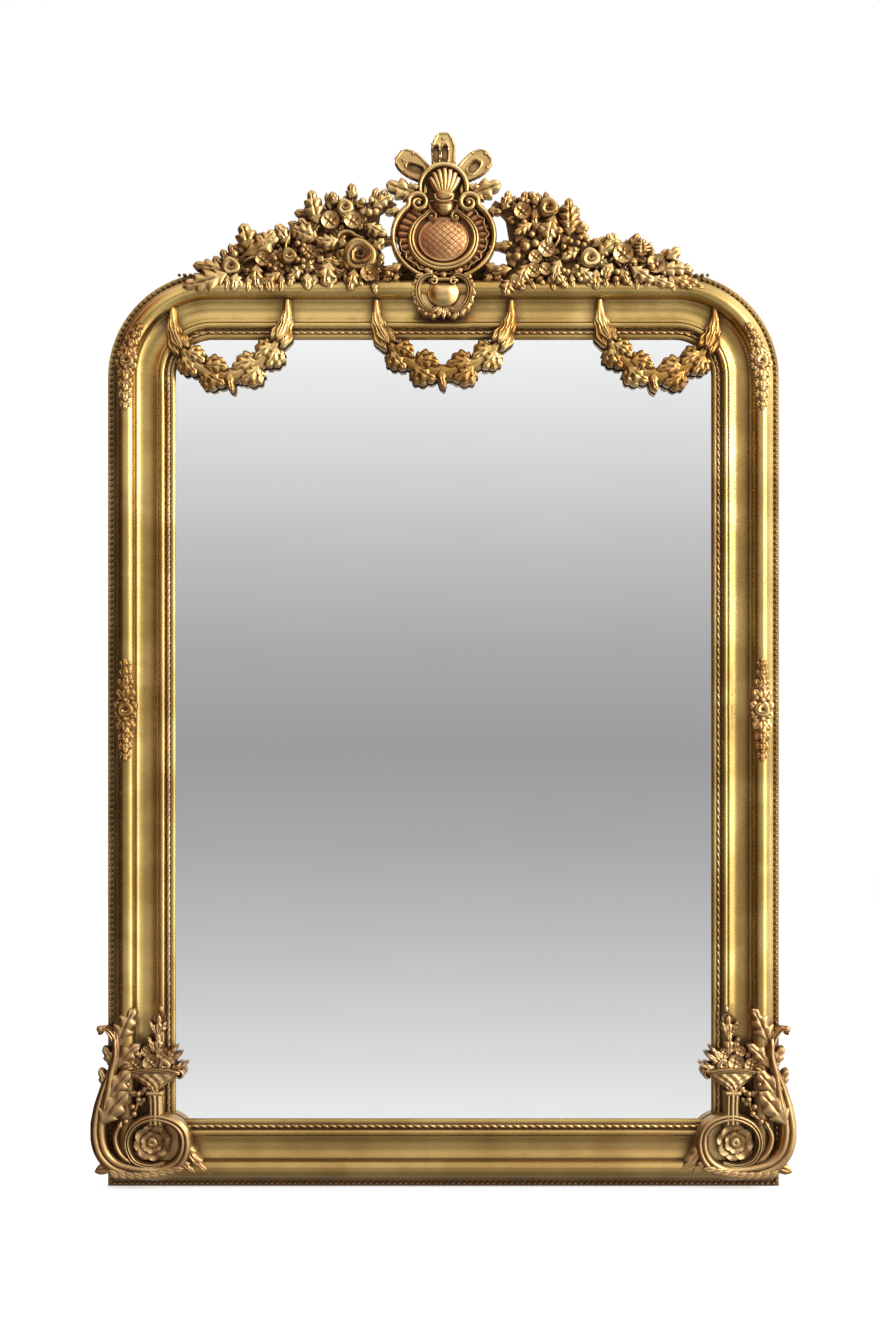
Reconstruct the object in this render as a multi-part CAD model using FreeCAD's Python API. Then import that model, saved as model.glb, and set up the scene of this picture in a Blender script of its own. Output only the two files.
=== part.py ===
"""Gilt trumeau mirror: an arched, moulded wooden frame with a silvered glass, a flower and cartouche crest,
three leaf garlands over the glass, flower drops on the stiles and scrolled ornaments at the lower corners.

The pieces are drawn in the front plane, in millimetres: x to the right, y up and z out from the wall towards
the viewer. Each is stood up when it is saved, so that +Z is up, the wall is the plane Y = 0 and the front
faces -Y. The origin is where the wall, the centre line and the underside of the frame meet.
"""
import math
import os

import FreeCAD
import Part

Vector = FreeCAD.Vector

# ---- driving dimensions -------------------------------------------------------------------------------
FRAME_WIDTH = 1150.0
FRAME_HEIGHT = 1566.0
MOULDING_WIDTH = 117.0
CORNER_RADIUS = 180.0
HALF_WIDTH = FRAME_WIDTH / 2
STRAIGHT_TOP = FRAME_HEIGHT - CORNER_RADIUS
CORNER_X = HALF_WIDTH - CORNER_RADIUS

# The moulding's section: u runs from the outer edge to the glass, v out from the wall.
BEAD_SHELF_V = 22.0
BEAD_SHELF_WIDTH = 11.0
TORUS_U = 35.0
TORUS_HALF_WIDTH = 14.0
TORUS_FOOT_V = 40.0
TORUS_TOP_V = 60.0
SETBACK_U = 34.0
SETBACK_V = 14.0
REBATE_U = 106.0
LIP_REAR_V = 28.0
SIGHT_U = (103.0, 112.0)

# What the rebate holds, from the front to the back.
GLASS_THICKNESS = 5.0
GLASS_GAP = 3.0
FELT_THICKNESS = 4.0
PANEL_THICKNESS = 5.0
PANEL_INSET = 72.0
GLASS_V = LIP_REAR_V - GLASS_THICKNESS
FELT_V = GLASS_V - FELT_THICKNESS
PANEL_V = SETBACK_V - PANEL_THICKNESS

# The ornaments stand on the frame, and above it on the crest board.
ORNAMENT_BACK_V = 30.0
CREST_BOARD_V = 3.0
CARTOUCHE_CENTRE = Vector(0, 1620, 0)
CARTOUCHE_RADII = (86.0, 73.0)
INNER_CENTRE = Vector(0, 1616, 0)
INNER_RING_RADII = (53.0, 47.0)
BOSS_RADII = (40.0, 37.0)
ARCH_CENTRE = Vector(0, 1703, 0)
ARCH_RADIUS = 40.0

HANGER_X = HALF_WIDTH - 53.0
HANGER_BAR_Y = 1230.0
BAR_RADIUS = 1.75
BAR_CLEARANCE = 0.05
STRAP_THICKNESS = 1.2
BAR_STANDOFF = 3.75
RING_WIDTH = 28.0
RING_LENGTH = 25.0
RING_BEND = 4.0
RING_SIDES = 6
STRAP_WIDTH = 17.0
STRAP_LENGTH = 62.0
STRAP_SCREW_DROPS = (34.0, 54.0)

FAR = 3000.0


# ---- outlines and simple solids -----------------------------------------------------------------------
def outline(points, place):
    """Closed wire through (u, v) corners; a corner with four values is the middle and the end of an arc."""
    edges = []
    last = place(*points[0])
    for point in points[1:] + [points[0][-2:]]:
        end = place(*point[-2:])
        if len(point) == 4:
            edges.append(Part.Arc(last, place(*point[:2]), end).toShape())
        elif (end - last).Length > 1e-6:
            edges.append(Part.makeLine(last, end))
        last = end
    return Part.Wire(edges)


def block(x, y, z, size_x, size_y, size_z):
    """Box centred on x and y, from z upwards."""
    return Part.makeBox(size_x, size_y, size_z, Vector(x - size_x / 2, y - size_y / 2, z))


def joined(shapes):
    """One solid from overlapping shapes."""
    return biggest(shapes[0].multiFuse(shapes[1:]))


def biggest(shape):
    """The largest solid of a shape, without crumbs that a cut leaves."""
    return max(shape.Solids, key=lambda solid: solid.Volume)


def seated(shape, *neighbours):
    """The shape with its back fitted to the pieces that carry it."""
    return biggest(shape.cut(neighbours))


def mirrored(shape):
    """The same piece on the other side of the centre line."""
    return shape.mirror(Vector(0, 0, 0), Vector(1, 0, 0))


def panel(points):
    """Flat face through a closed run of points."""
    return Part.Face(Part.makePolygon(points + points[:1]))


def skin(rings):
    """Faceted solid through closed rings of points; a panel that is not flat is split in two."""
    faces = [panel(rings[0]), panel(rings[-1])]
    for lower, upper in zip(rings, rings[1:]):
        for k, b in enumerate(lower):
            a, c, d = lower[k - 1], upper[k], upper[k - 1]
            twist = abs((b - a).cross(c - a).dot(d - a))
            if twist < 1e-6 * (b - a).Length * (c - a).Length:
                faces.append(panel([a, b, c, d]))
            else:
                faces += [panel([a, b, c]), panel([a, c, d])]
    solid = Part.makeSolid(Part.makeShell(faces))
    if solid.Volume < 0:
        solid.reverse()
    return solid


# ---- carved forms: each is a faceted solid that rises from the ornaments' back plane -------------------
def placed(points, x, y, heading, z):
    """Outline points (along, across) turned to a heading in degrees and moved to x, y at one height."""
    turn = math.radians(heading)
    cos, sin = math.cos(turn), math.sin(turn)
    return [Vector(x + a * cos - b * sin, y + a * sin + b * cos, z) for a, b in points]


def dome(x, y, radius, base, height, sides=6, lobes=0, stretch=1.0, heading=0.0, back=ORNAMENT_BACK_V):
    """Round or lobed knob: a bud, a berry, or the petals of an open flower."""
    count = 2 * lobes or sides

    def ring(scale, z):
        points = []
        for k in range(count):
            angle = 2 * math.pi * k / count
            reach = radius * scale * (0.8 if lobes and k % 2 else 1.0)
            points.append((reach * stretch * math.cos(angle), reach * math.sin(angle)))
        return placed(points, x, y, heading, z)

    return skin([ring(1.0, back), ring(1.0, base), ring(0.55, base + height)])


# One side of a leaf's edge, from the stalk to the tip, as shares of its length and its width.
PLAIN_EDGE = ((0.32, 0.50), (0.72, 0.34))
LOBED_EDGE = ((0.20, 0.34), (0.30, 0.26), (0.50, 0.50), (0.74, 0.30))


def leaf(x, y, length, width, heading, base, height, edge=PLAIN_EDGE, back=ORNAMENT_BACK_V):
    """Pointed leaf with a raised midrib. heading is in degrees, 0 to the right."""
    def ring(long_scale, wide_scale, z):
        right = [(a * length * long_scale, -b * width * wide_scale) for a, b in ((0, 0),) + edge]
        left = [(a * length * long_scale, b * width * wide_scale) for a, b in reversed(edge)]
        return placed(right + [(length * long_scale, 0)] + left, x, y, heading, z)

    return skin([ring(1.0, 1.0, back), ring(1.0, 1.0, base), ring(0.9, 0.16, base + height)])


def smooth_path(points, count):
    """Evenly spaced points of the smooth curve through a few hand-placed points."""
    curve = Part.BSplineCurve()
    curve.interpolate([Vector(*point) for point in points])
    return curve.discretize(Number=count)


def band(path, width, base, height, back=ORNAMENT_BACK_V):
    """Scroll or stem along a path in the front plane, ridged along its middle.

    width gives the full width at a share of the path's length.
    """
    rings = []
    last = len(path) - 1
    for k, point in enumerate(path):
        ahead = path[min(k + 1, last)] - path[max(k - 1, 0)]
        side = Vector(-ahead.y, ahead.x, 0).normalize() * (width(k / last) / 2)
        middle = Vector(point.x, point.y, 0)
        rings.append([
            middle + side + Vector(0, 0, back),
            middle + side + Vector(0, 0, base),
            middle + Vector(0, 0, base + height),
            middle - side + Vector(0, 0, base),
            middle - side + Vector(0, 0, back),
        ])
    return skin(rings)


def oval_arc(centre, radii, start, stop, count):
    """Points on an oval from the start angle to the stop angle, in degrees."""
    points = []
    for k in range(count):
        angle = math.radians(start + (stop - start) * k / (count - 1))
        points.append(Vector(centre.x + radii[0] * math.cos(angle), centre.y + radii[1] * math.sin(angle), 0))
    return points


def volute(centre, outer, inner, start, turns, count):
    """Points of a spiral that closes in on its centre. A negative number of turns winds clockwise."""
    points = []
    for k in range(count):
        share = k / (count - 1)
        angle = math.radians(start) + 2 * math.pi * turns * share
        radius = outer + (inner - outer) * share
        points.append(Vector(centre.x + radius * math.cos(angle), centre.y + radius * math.sin(angle), 0))
    return points


def taper(*widths):
    """Width along a band, with the given widths at even shares of its length."""
    def width(share):
        place = share * (len(widths) - 1)
        k = min(int(place), len(widths) - 2)
        return widths[k] + (widths[k + 1] - widths[k]) * (place - k)
    return width


def turned(x, y, profile, sides=6):
    """Turned piece on an axis that points out of the wall: radius and height of each ring."""
    rings = []
    for radius, z in profile:
        rings.append([
            Vector(x + radius * math.cos(2 * math.pi * k / sides), y + radius * math.sin(2 * math.pi * k / sides), z)
            for k in range(sides)])
    return skin(rings)


# ---- frame ----------------------------------------------------------------------------------------------
MOULDING = [
    (0, 0),
    (0, BEAD_SHELF_V),
    (BEAD_SHELF_WIDTH, BEAD_SHELF_V),
    (BEAD_SHELF_WIDTH, 28),
    (21, 32),
    (TORUS_U - TORUS_HALF_WIDTH, TORUS_FOOT_V),
    (TORUS_U, TORUS_TOP_V, TORUS_U + TORUS_HALF_WIDTH, TORUS_FOOT_V),
    (49, 38),
    (53, 38),
    (68, 28.5, 87, 36),
    (89, 35),
    (89, 39),
    (91, 42.5),
    (94.5, 44),
    (98, 42.5),
    (100, 39),
    (100, 34),
    (SIGHT_U[0], 34),
    (SIGHT_U[1], 33),
    (MOULDING_WIDTH, 30.5),
    (MOULDING_WIDTH, LIP_REAR_V),
    (REBATE_U, LIP_REAR_V),
    (REBATE_U, SETBACK_V),
    (SETBACK_U, SETBACK_V),
    (SETBACK_U, 0),
]


def torus_flats(count=8):
    """Corners of flats that just touch the torus, from its outer foot over to its inner one."""
    rise = TORUS_TOP_V - TORUS_FOOT_V
    radius = (TORUS_HALF_WIDTH ** 2 + rise ** 2) / (2 * rise)
    foot = math.asin((rise - radius) / radius)
    step = (math.pi + 2 * foot) / count
    turns = [math.pi + foot - step * (k + 0.5) for k in range(count)]
    reach = radius / math.cos(step / 2)
    return [(TORUS_U + reach * math.cos(turn), TORUS_TOP_V - radius + reach * math.sin(turn)) for turn in turns]


# The same section with its round stretches as flats that just touch them: the ornaments' backs are cut to it.
SEAT = [
    (0, 0),
    (0, BEAD_SHELF_V),
    (1.5, BEAD_SHELF_V),
    (3, 28),
    (BEAD_SHELF_WIDTH, 28),
    (21, 32),
    (TORUS_U - TORUS_HALF_WIDTH, TORUS_FOOT_V),
    *torus_flats(),
    (TORUS_U + TORUS_HALF_WIDTH, TORUS_FOOT_V),
    (49, 38),
    (53, 38),
    (59.5, 31.7),
    (68, 28.5),
    (78, 29.7),
    (87, 36),
    (89, 36),
    (89, 39),
    (91, 42.5),
    (94.5, 44),
    (98, 42.5),
    (100, 39),
    (104, 38),
    (109, 37.5),
    (SIGHT_U[1], 33),
    (MOULDING_WIDTH, 30.5),
    (MOULDING_WIDTH, LIP_REAR_V),
    (REBATE_U, 0),
]
SEAT_STEPS = 10
BEAD_STRIP = [(1.5, BEAD_SHELF_V), (3, 28), (8, 28), (9.5, BEAD_SHELF_V)]
SIGHT_SLIP = [(SIGHT_U[0], 34), (104, 38), (109, 37.5), (SIGHT_U[1], 33)]


def stile(section):
    """Left upright of a section, mitred at the foot."""
    face = Part.Face(outline(section, lambda u, v: Vector(u - HALF_WIDTH, 0, v)))
    upright = face.extrude(Vector(0, STRAIGHT_TOP, 0))
    return upright.cut(mitre_wedge(below=True))


def mitre_wedge(below):
    """Large wedge on one side of the left mitre, which runs inwards and up from the lower corner."""
    corner = Vector(-HALF_WIDTH - FAR, -FAR, -FAR)
    inner = Vector(-HALF_WIDTH + FAR, FAR, -FAR)
    side = Vector(-HALF_WIDTH + FAR, -FAR, -FAR) if below else Vector(-HALF_WIDTH - FAR, FAR, -FAR)
    return Part.Face(Part.makePolygon([corner, inner, side, corner])).extrude(Vector(0, 0, 2 * FAR))


def foot_rail(section):
    """Bottom rail of a section, mitred at both ends."""
    face = Part.Face(outline(section, lambda u, v: Vector(-HALF_WIDTH, u, v)))
    rail = face.extrude(Vector(FRAME_WIDTH, 0, 0)).cut(mitre_wedge(below=False))
    return rail.cut(mirrored(mitre_wedge(below=False)))


def with_flats(section, flats=5):
    """The section with each arc as a few equal flats, so that its quarter turns stay light."""
    points = []
    for point in section:
        if len(point) == 2:
            points.append(point)
            continue
        start, middle, end = (Vector(*pair, 0) for pair in (points[-1], point[:2], point[2:]))
        arc = Part.Arc(start, middle, end).toShape()
        points += [(spot.x, spot.y) for spot in arc.discretize(Number=flats + 1)[1:]]
    return points


def corner(section):
    """Upper left quarter turn of a section."""
    face = Part.Face(outline(with_flats(section), lambda u, v: Vector(u - HALF_WIDTH, STRAIGHT_TOP, v)))
    return face.revolve(Vector(-CORNER_X, STRAIGHT_TOP, 0), Vector(0, 0, 1), -90)


def head_rail(section):
    """Straight top rail of a section, between the two corners."""
    face = Part.Face(outline(section, lambda u, v: Vector(-CORNER_X, FRAME_HEIGHT - u, v)))
    return face.extrude(Vector(2 * CORNER_X, 0, 0))


def arched_top(section):
    """Top length of an applied strip, bent round both corners."""
    left = corner(section)
    return joined([left, head_rail(section), mirrored(left)]).removeSplitter()


def seat_members():
    """Flat-sided stand-ins for the frame, to which the ornaments' backs are cut: stile, rails and corners."""
    half_step = math.radians(90 / SEAT_STEPS / 2)
    rings = []
    for k in range(SEAT_STEPS + 1):
        turn = math.pi - 0.5 * math.pi * k / SEAT_STEPS
        ring = []
        for u, v in SEAT:
            reach = (CORNER_RADIUS - u) / (math.cos(half_step) if u <= TORUS_U else 1)
            ring.append(Vector(reach * math.cos(turn) - CORNER_X, STRAIGHT_TOP + reach * math.sin(turn), v))
        rings.append(ring)
    left_corner, left_stile = skin(rings), stile(SEAT)
    return {
        "left": [left_stile],
        "right": [mirrored(left_stile)],
        "foot": [foot_rail(SEAT)],
        "head": [head_rail(SEAT), left_corner, mirrored(left_corner)],
    }


def arched_sheet(inset, z, thickness):
    """Flat sheet that follows the frame's outline at an inset: square below and rounded above."""
    radius = CORNER_RADIUS - inset
    half, top = HALF_WIDTH - inset, FRAME_HEIGHT - inset
    bend = radius * (1 - math.sqrt(0.5))
    sheet = [
        (-half, inset),
        (-half, top - radius),
        (-half + bend, top - bend, -half + radius, top),
        (half - radius, top),
        (half - bend, top - bend, half, top - radius),
        (half, inset),
    ]
    return Part.Face(outline(sheet, lambda x, y: Vector(x, y, z))).extrude(Vector(0, 0, thickness))


def joint_splines():
    """Flat hardwood tongues that lock the six joints of the frame, left half first."""
    thickness, reach, breadth, low_v = 7.0, 25.0, 34.0, 17.0
    middle_u = 68.0
    middle_x = middle_u - HALF_WIDTH
    stile_tongue = block(middle_x, STRAIGHT_TOP, low_v, breadth, 2 * reach, thickness)
    head_tongue = block(-CORNER_X, FRAME_HEIGHT - middle_u, low_v, 2 * reach, breadth, thickness)
    mitre_tongue = block(middle_x, middle_u, low_v, breadth, 2 * reach, thickness)
    mitre_tongue.rotate(Vector(middle_x, middle_u, 0), Vector(0, 0, 1), 45)
    left = [stile_tongue, head_tongue, mitre_tongue]
    return left + [mirrored(tongue) for tongue in left]


# ---- glazing and back -----------------------------------------------------------------------------------
def setting_blocks():
    """Two hard rubber blocks that carry the weight of the glass."""
    quarter = FRAME_WIDTH / 5
    return [block(x, REBATE_U + GLASS_GAP / 2, GLASS_V, 60, GLASS_GAP, GLASS_THICKNESS) for x in (-quarter, quarter)]


def retaining_blocks():
    """Softwood blocks glued round the rebate to hold the glass and its felt."""
    long_side, short_side, height = 46.0, 12.0, FELT_V - SETBACK_V
    blocks = []
    for y in (240, 520, 800, 1080, 1330):
        upright = block(REBATE_U - HALF_WIDTH + short_side / 2, y, SETBACK_V, short_side, long_side, height)
        blocks += [upright, mirrored(upright)]
    for x in (-270, 0, 270):
        for y in (REBATE_U + short_side / 2, FRAME_HEIGHT - REBATE_U - short_side / 2):
            blocks.append(block(x, y, SETBACK_V, long_side, short_side, height))
    return blocks


def pan_screw(x, y, seat_v, length):
    """Pan-head wood screw driven from the back: its head stands behind seat_v."""
    profile = [(3.2, seat_v - 2.2), (4.2, seat_v), (1.9, seat_v), (1.9, seat_v + length)]
    return turned(x, y, profile)


def panel_screws():
    """Screws round the edge of the back panel."""
    edge = 9.0
    side_x = HALF_WIDTH - PANEL_INSET - edge
    rail_y = (PANEL_INSET + edge, FRAME_HEIGHT - PANEL_INSET - edge)
    places = [(side * side_x, y) for side in (-1, 1) for y in (300, 720, 1140)]
    places += [(x, y) for x in (-260, 260) for y in rail_y]
    return [pan_screw(x, y, PANEL_V, 16) for x, y in places]


# ---- hanging hardware -----------------------------------------------------------------------------------
def hanger_strap():
    """Left steel strap with its end rolled into a barrel for the ring's bar."""
    bar_v = SETBACK_V - BAR_STANDOFF
    barrel_radius = BAR_RADIUS + BAR_CLEARANCE + STRAP_THICKNESS
    left_edge = Vector(-HANGER_X - STRAP_WIDTH / 2, HANGER_BAR_Y, bar_v)
    along = Vector(1, 0, 0)
    plate = block(
        -HANGER_X, HANGER_BAR_Y - STRAP_LENGTH / 2, SETBACK_V - STRAP_THICKNESS,
        STRAP_WIDTH, STRAP_LENGTH, STRAP_THICKNESS,
    )
    barrel = Part.makeCylinder(barrel_radius, STRAP_WIDTH, left_edge, along)
    bore = Part.makeCylinder(BAR_RADIUS + BAR_CLEARANCE, STRAP_WIDTH, left_edge, along)
    return plate.fuse(barrel).cut(bore)


def hanger_ring():
    """Left D-shaped ring, hanging down from its straight round bar."""
    bar_v = SETBACK_V - BAR_STANDOFF
    half = RING_WIDTH / 2
    bow_y = HANGER_BAR_Y - RING_LENGTH + half
    bend_y = HANGER_BAR_Y - RING_BEND
    stations = [(half - RING_BEND, bend_y, RING_BEND, angle) for angle in (90, 60, 30, 0)]
    stations += [(0, bow_y, half, angle) for angle in range(0, -181, -20)]
    stations += [(RING_BEND - half, bend_y, RING_BEND, angle) for angle in (180, 150, 120, 90)]
    rings = []
    for centre_x, centre_y, radius, angle in stations:
        turn = math.radians(angle)
        outward = Vector(math.cos(turn), math.sin(turn), 0)
        middle = Vector(centre_x - HANGER_X, centre_y, bar_v) + outward * radius
        rings.append([
            middle + outward * (BAR_RADIUS * math.cos(2 * math.pi * k / RING_SIDES))
            + Vector(0, 0, BAR_RADIUS * math.sin(2 * math.pi * k / RING_SIDES)) for k in range(RING_SIDES)])
    bar_start = Vector(RING_BEND - half - HANGER_X, HANGER_BAR_Y, bar_v)
    bar = Part.makeCylinder(BAR_RADIUS, RING_WIDTH - 2 * RING_BEND, bar_start, Vector(1, 0, 0))
    return joined([bar, skin(rings)])


def hanger_screws():
    """Two screws through each hanger strap."""
    seat_v = SETBACK_V - STRAP_THICKNESS
    return [
        pan_screw(side * HANGER_X, HANGER_BAR_Y - drop, seat_v, 18)
        for side in (-1, 1) for drop in STRAP_SCREW_DROPS
    ]


# ---- crest ----------------------------------------------------------------------------------------------
# Right half of the crest board's edge, from the centre's top to the toe of the wing. The low neck between the
# middle and the wing leaves the crest's two openings clear.
CREST_BOARD_EDGE = [
    (66, 1600), (60, 1572), (116, 1572), (118, 1664), (208, 1662), (220, 1624), (250, 1618), (258, 1596),
    (326, 1586), (344, 1566)]


def crest_board():
    """Shaped board behind the crest, standing on the frame's top edge."""
    left = [(-x, y) for x, y in reversed(CREST_BOARD_EDGE)]
    edge = left + [(0, 1684) + CREST_BOARD_EDGE[0]] + CREST_BOARD_EDGE[1:]
    face = Part.Face(outline(edge, lambda x, y: Vector(x, y, CREST_BOARD_V)))
    return face.extrude(Vector(0, 0, ORNAMENT_BACK_V - CREST_BOARD_V))


FIXING_PLATE_XS = (-220.0, 0.0, 220.0)
FIXING_PLATE_SIZE = (26.0, 52.0)


def fixing_plates():
    """Steel mending plates let into the back of the top rail, reaching up behind the crest board."""
    width, height = FIXING_PLATE_SIZE
    return [block(x, FRAME_HEIGHT, 0, width, height, CREST_BOARD_V) for x in FIXING_PLATE_XS]


def plate_screws():
    """Countersunk screws of the mending plates, flush with the wall plane."""
    profile = [(4.0, 0), (1.9, 2.6), (1.9, 17)]
    return [turned(x, FRAME_HEIGHT + rise, profile) for x in FIXING_PLATE_XS for rise in (-15, 15)]


def cartouche_plate():
    """Oval ground of the cartouche with a scalloped, rayed edge."""
    flutes = 20

    def ring(scale, z):
        points = []
        for k in range(2 * flutes):
            angle = math.pi * k / flutes
            reach = scale * (0.95 if k % 2 else 0.89)
            points.append(Vector(
                CARTOUCHE_CENTRE.x + CARTOUCHE_RADII[0] * reach * math.cos(angle),
                CARTOUCHE_CENTRE.y + CARTOUCHE_RADII[1] * reach * math.sin(angle), z))
        return points

    return skin([ring(1.0, ORNAMENT_BACK_V), ring(1.0, 42), ring(0.76, 44)])


def cartouche_scroll():
    """Left C-scroll of the cartouche: a volute beside the shell, then a long sweep to the foot."""
    sweep = oval_arc(CARTOUCHE_CENTRE, CARTOUCHE_RADII, 132, 256, 13)
    eye = Vector(-43, 1681, 0)
    curl = volute(eye, 17, 6, 158, -0.9, 9)
    scroll = band(list(reversed(curl)) + sweep, taper(5, 8, 12, 12, 11, 8), 48, 8)
    wing_leaf = leaf(-58, 1690, 52, 26, 149, 46, 8)
    return joined([scroll, wing_leaf])


def inner_ring():
    """Rim round the boss, open at the top where its ends curl in."""
    sweep = oval_arc(INNER_CENTRE, INNER_RING_RADII, 118, 422, 21)
    left_curl = [sweep[0] + Vector(9, -10, 0), sweep[0] + Vector(13, -2, 0), sweep[0] + Vector(8, 4, 0)]
    right_curl = [Vector(-point.x, point.y, 0) for point in reversed(left_curl)]
    return band(left_curl + sweep + right_curl, taper(6, 9, 11, 11, 9, 6), 50, 8)


def boss():
    """Domed oval boss in the middle of the cartouche."""
    rings = []
    for scale, z in ((1.0, ORNAMENT_BACK_V), (1.0, 46), (0.82, 53), (0.45, 58)):
        ring = oval_arc(INNER_CENTRE, (BOSS_RADII[0] * scale, BOSS_RADII[1] * scale), 0, 342, 20)
        rings.append([point + Vector(0, 0, z) for point in ring])
    return skin(rings)


def shell_palmette():
    """Fan of flutes on a pinched neck and a round drop, above the boss."""
    flutes = [leaf(3 * k, 1684, 49, 12, 90 - 11 * k, 58, 7) for k in (-2, -1, 0, 1, 2)]
    neck = dome(0, 1681, 18, 58, 8, sides=8, stretch=0.62, heading=90)
    drop = dome(0, 1665, 14, 56, 9, sides=8, stretch=0.9, heading=90)
    return joined([drop, neck] + flutes)


def crest_arch():
    """Plain arched band that springs from the scrolls and spans the shell."""
    return band(oval_arc(ARCH_CENTRE, (ARCH_RADIUS, ARCH_RADIUS), 206, -26, 15), taper(9, 9), 46, 8)


PETAL_WIDTH = 44.0
PETAL_LENGTH = 58.0
PETAL_BACK_V = 36.0
PETAL_THICKNESS = 12.0
PETAL_FLOOR_V = 41.0


def crest_petal(heading, reach):
    """Lobe above the arch: a round-ended plate with two sunk slots."""
    half, foot, shoulder = PETAL_WIDTH / 2, reach - PETAL_LENGTH, reach - 0.5 * PETAL_WIDTH
    shape = [(foot, -0.34 * PETAL_WIDTH), (shoulder, -half), (reach, 0, shoulder, half), (foot, 0.34 * PETAL_WIDTH)]
    plate = Part.Face(outline(shape, lambda a, b: Vector(a, b, PETAL_BACK_V))).extrude(Vector(0, 0, PETAL_THICKNESS))
    slots = [(foot + 15, 3), (foot + 15, 9), (foot + 36, 8), (foot + 40, 3)]
    for side in (-1, 1):
        slot = panel([Vector(a, side * b, PETAL_FLOOR_V) for a, b in slots])
        plate = plate.cut(slot.extrude(Vector(0, 0, FAR)))
    plate.rotate(Vector(0, 0, 0), Vector(0, 0, 1), heading)
    plate.translate(ARCH_CENTRE)
    return plate


def lower_cartouche():
    """Small rocaille cartouche on the head rail: two C-scrolls round a hollow."""
    half = [(13, 1541, 0), (28, 1546, 0), (42, 1532, 0), (41, 1510, 0), (29, 1493, 0), (12, 1490, 0)]
    scrolls = [
        band(smooth_path([(side * x, y, z) for x, y, z in half], 9), taper(8, 14, 16, 14, 8), 57, 9)
        for side in (-1, 1)]
    ground = dome(0, 1516, 31, 54, 3, sides=12, heading=15)
    foot = leaf(0, 1500, 24, 26, 270, 50, 9)
    head = dome(0, 1544, 9, 57, 8, stretch=1.7)
    return joined([ground] + scrolls + [foot, head])


def lower_shield():
    """Smooth swelling shield in the small cartouche, flat above and round below."""
    rings = []
    for scale, z in ((1.0, 57), (1.0, 60), (0.8, 67), (0.4, 71)):
        below = oval_arc(Vector(0, 1524, 0), (21 * scale, 27 * scale), 180, 360, 9)
        above = oval_arc(Vector(0, 1524, 0), (21 * scale, 6 * scale), 30, 150, 3)
        rings.append([point + Vector(0, 0, z) for point in below + above])
    return skin(rings)


# Ground of each spray, clockwise from its outer end: it bridges to the cartouche above, between and below the
# two openings. Flowers: x, y, radius, height above the wall, petals. Leaves: x, y, length, width, heading,
# height. Bunches of berries: x, y, radius, height.
LEFT_SPRAY = {
    "ground": [
        (-408, 1552), (-372, 1590), (-338, 1604), (-302, 1602), (-264, 1624), (-236, 1634), (-224, 1668),
        (-170, 1676), (-128, 1680), (-80, 1692), (-76, 1676), (-108, 1660), (-112, 1626), (-76, 1622),
        (-76, 1612), (-109, 1606), (-112, 1574), (-70, 1568), (-64, 1556), (-136, 1546), (-396, 1546)],
    "flowers": [(-353, 1577, 21, 62, 5), (-306, 1602, 23, 60, 5), (-166, 1672, 21, 58, 6), (-142, 1590, 31, 64, 6),
                (-148, 1644, 20, 58, 5), (-124, 1551, 17, 68, 5)],
    "leaves": [(-384, 1566, 36, 26, 122, 50), (-396, 1552, 52, 26, 212, 62), (-366, 1556, 40, 24, 232, 64),
               (-328, 1598, 40, 22, 108, 48), (-208, 1640, 56, 34, 108, 48), (-210, 1622, 42, 36, 250, 56),
               (-198, 1578, 48, 34, 262, 64), (-318, 1562, 34, 24, 262, 64), (-158, 1554, 34, 22, 262, 68),
               (-116, 1676, 34, 24, 70, 48)],
    "bunches": [(-252, 1622, 18, 56), (-246, 1594, 16, 60), (-278, 1568, 15, 64)],
}
RIGHT_SPRAY = {
    "ground": [
        (410, 1552), (376, 1584), (342, 1598), (302, 1600), (258, 1600), (248, 1622), (224, 1622), (216, 1664),
        (172, 1674), (128, 1674), (84, 1690), (78, 1676), (106, 1650), (112, 1616), (80, 1612),
        (80, 1602), (108, 1594), (110, 1570), (68, 1566), (64, 1556), (136, 1546), (396, 1546)],
    "flowers": [(362, 1572, 21, 60, 5), (309, 1590, 21, 60, 5), (244, 1582, 20, 64, 6), (176, 1668, 19, 58, 6),
                (132, 1662, 20, 58, 5), (166, 1578, 18, 64, 5), (128, 1542, 17, 68, 5)],
    "leaves": [(384, 1566, 36, 24, 48, 48), (392, 1556, 52, 26, 328, 62), (336, 1596, 34, 22, 64, 48),
               (272, 1594, 46, 24, 42, 50), (206, 1628, 58, 34, 78, 48), (196, 1566, 34, 24, 286, 66),
               (330, 1566, 48, 26, 306, 64), (282, 1560, 34, 24, 270, 64), (106, 1566, 40, 26, 262, 64)],
    "bunches": [(136, 1602, 22, 58), (232, 1616, 18, 56), (206, 1598, 16, 60)],
}


def spray(parts):
    """Flower spray of the crest: leaves, flowers and bunches of berries on a shaped ground."""
    ground = panel([Vector(x, y, ORNAMENT_BACK_V) for x, y in parts["ground"]]).extrude(Vector(0, 0, 12))
    pieces = [leaf(x, y, length, width, heading, v - 8, 9) for x, y, length, width, heading, v in parts["leaves"]]
    pieces += [dome(x, y, radius, v - 10, 9, lobes=petals) for x, y, radius, v, petals in parts["flowers"]]
    pieces += [dome(x, y, radius, v - 10, 9, sides=7) for x, y, radius, v in parts["bunches"]]
    return joined([ground] + pieces)


# ---- garlands, drops and corner ornaments ---------------------------------------------------------------
GARLAND_BACK_V = 33.5
GARLAND_ENDS = {
    "left": (Vector(-462, 1500, 44), Vector(-266, 1514, 44)),
    "centre": (Vector(-115, 1513, 44), Vector(115, 1513, 44)),
    "right": (Vector(266, 1514, 44), Vector(462, 1500, 44)),
}
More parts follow.
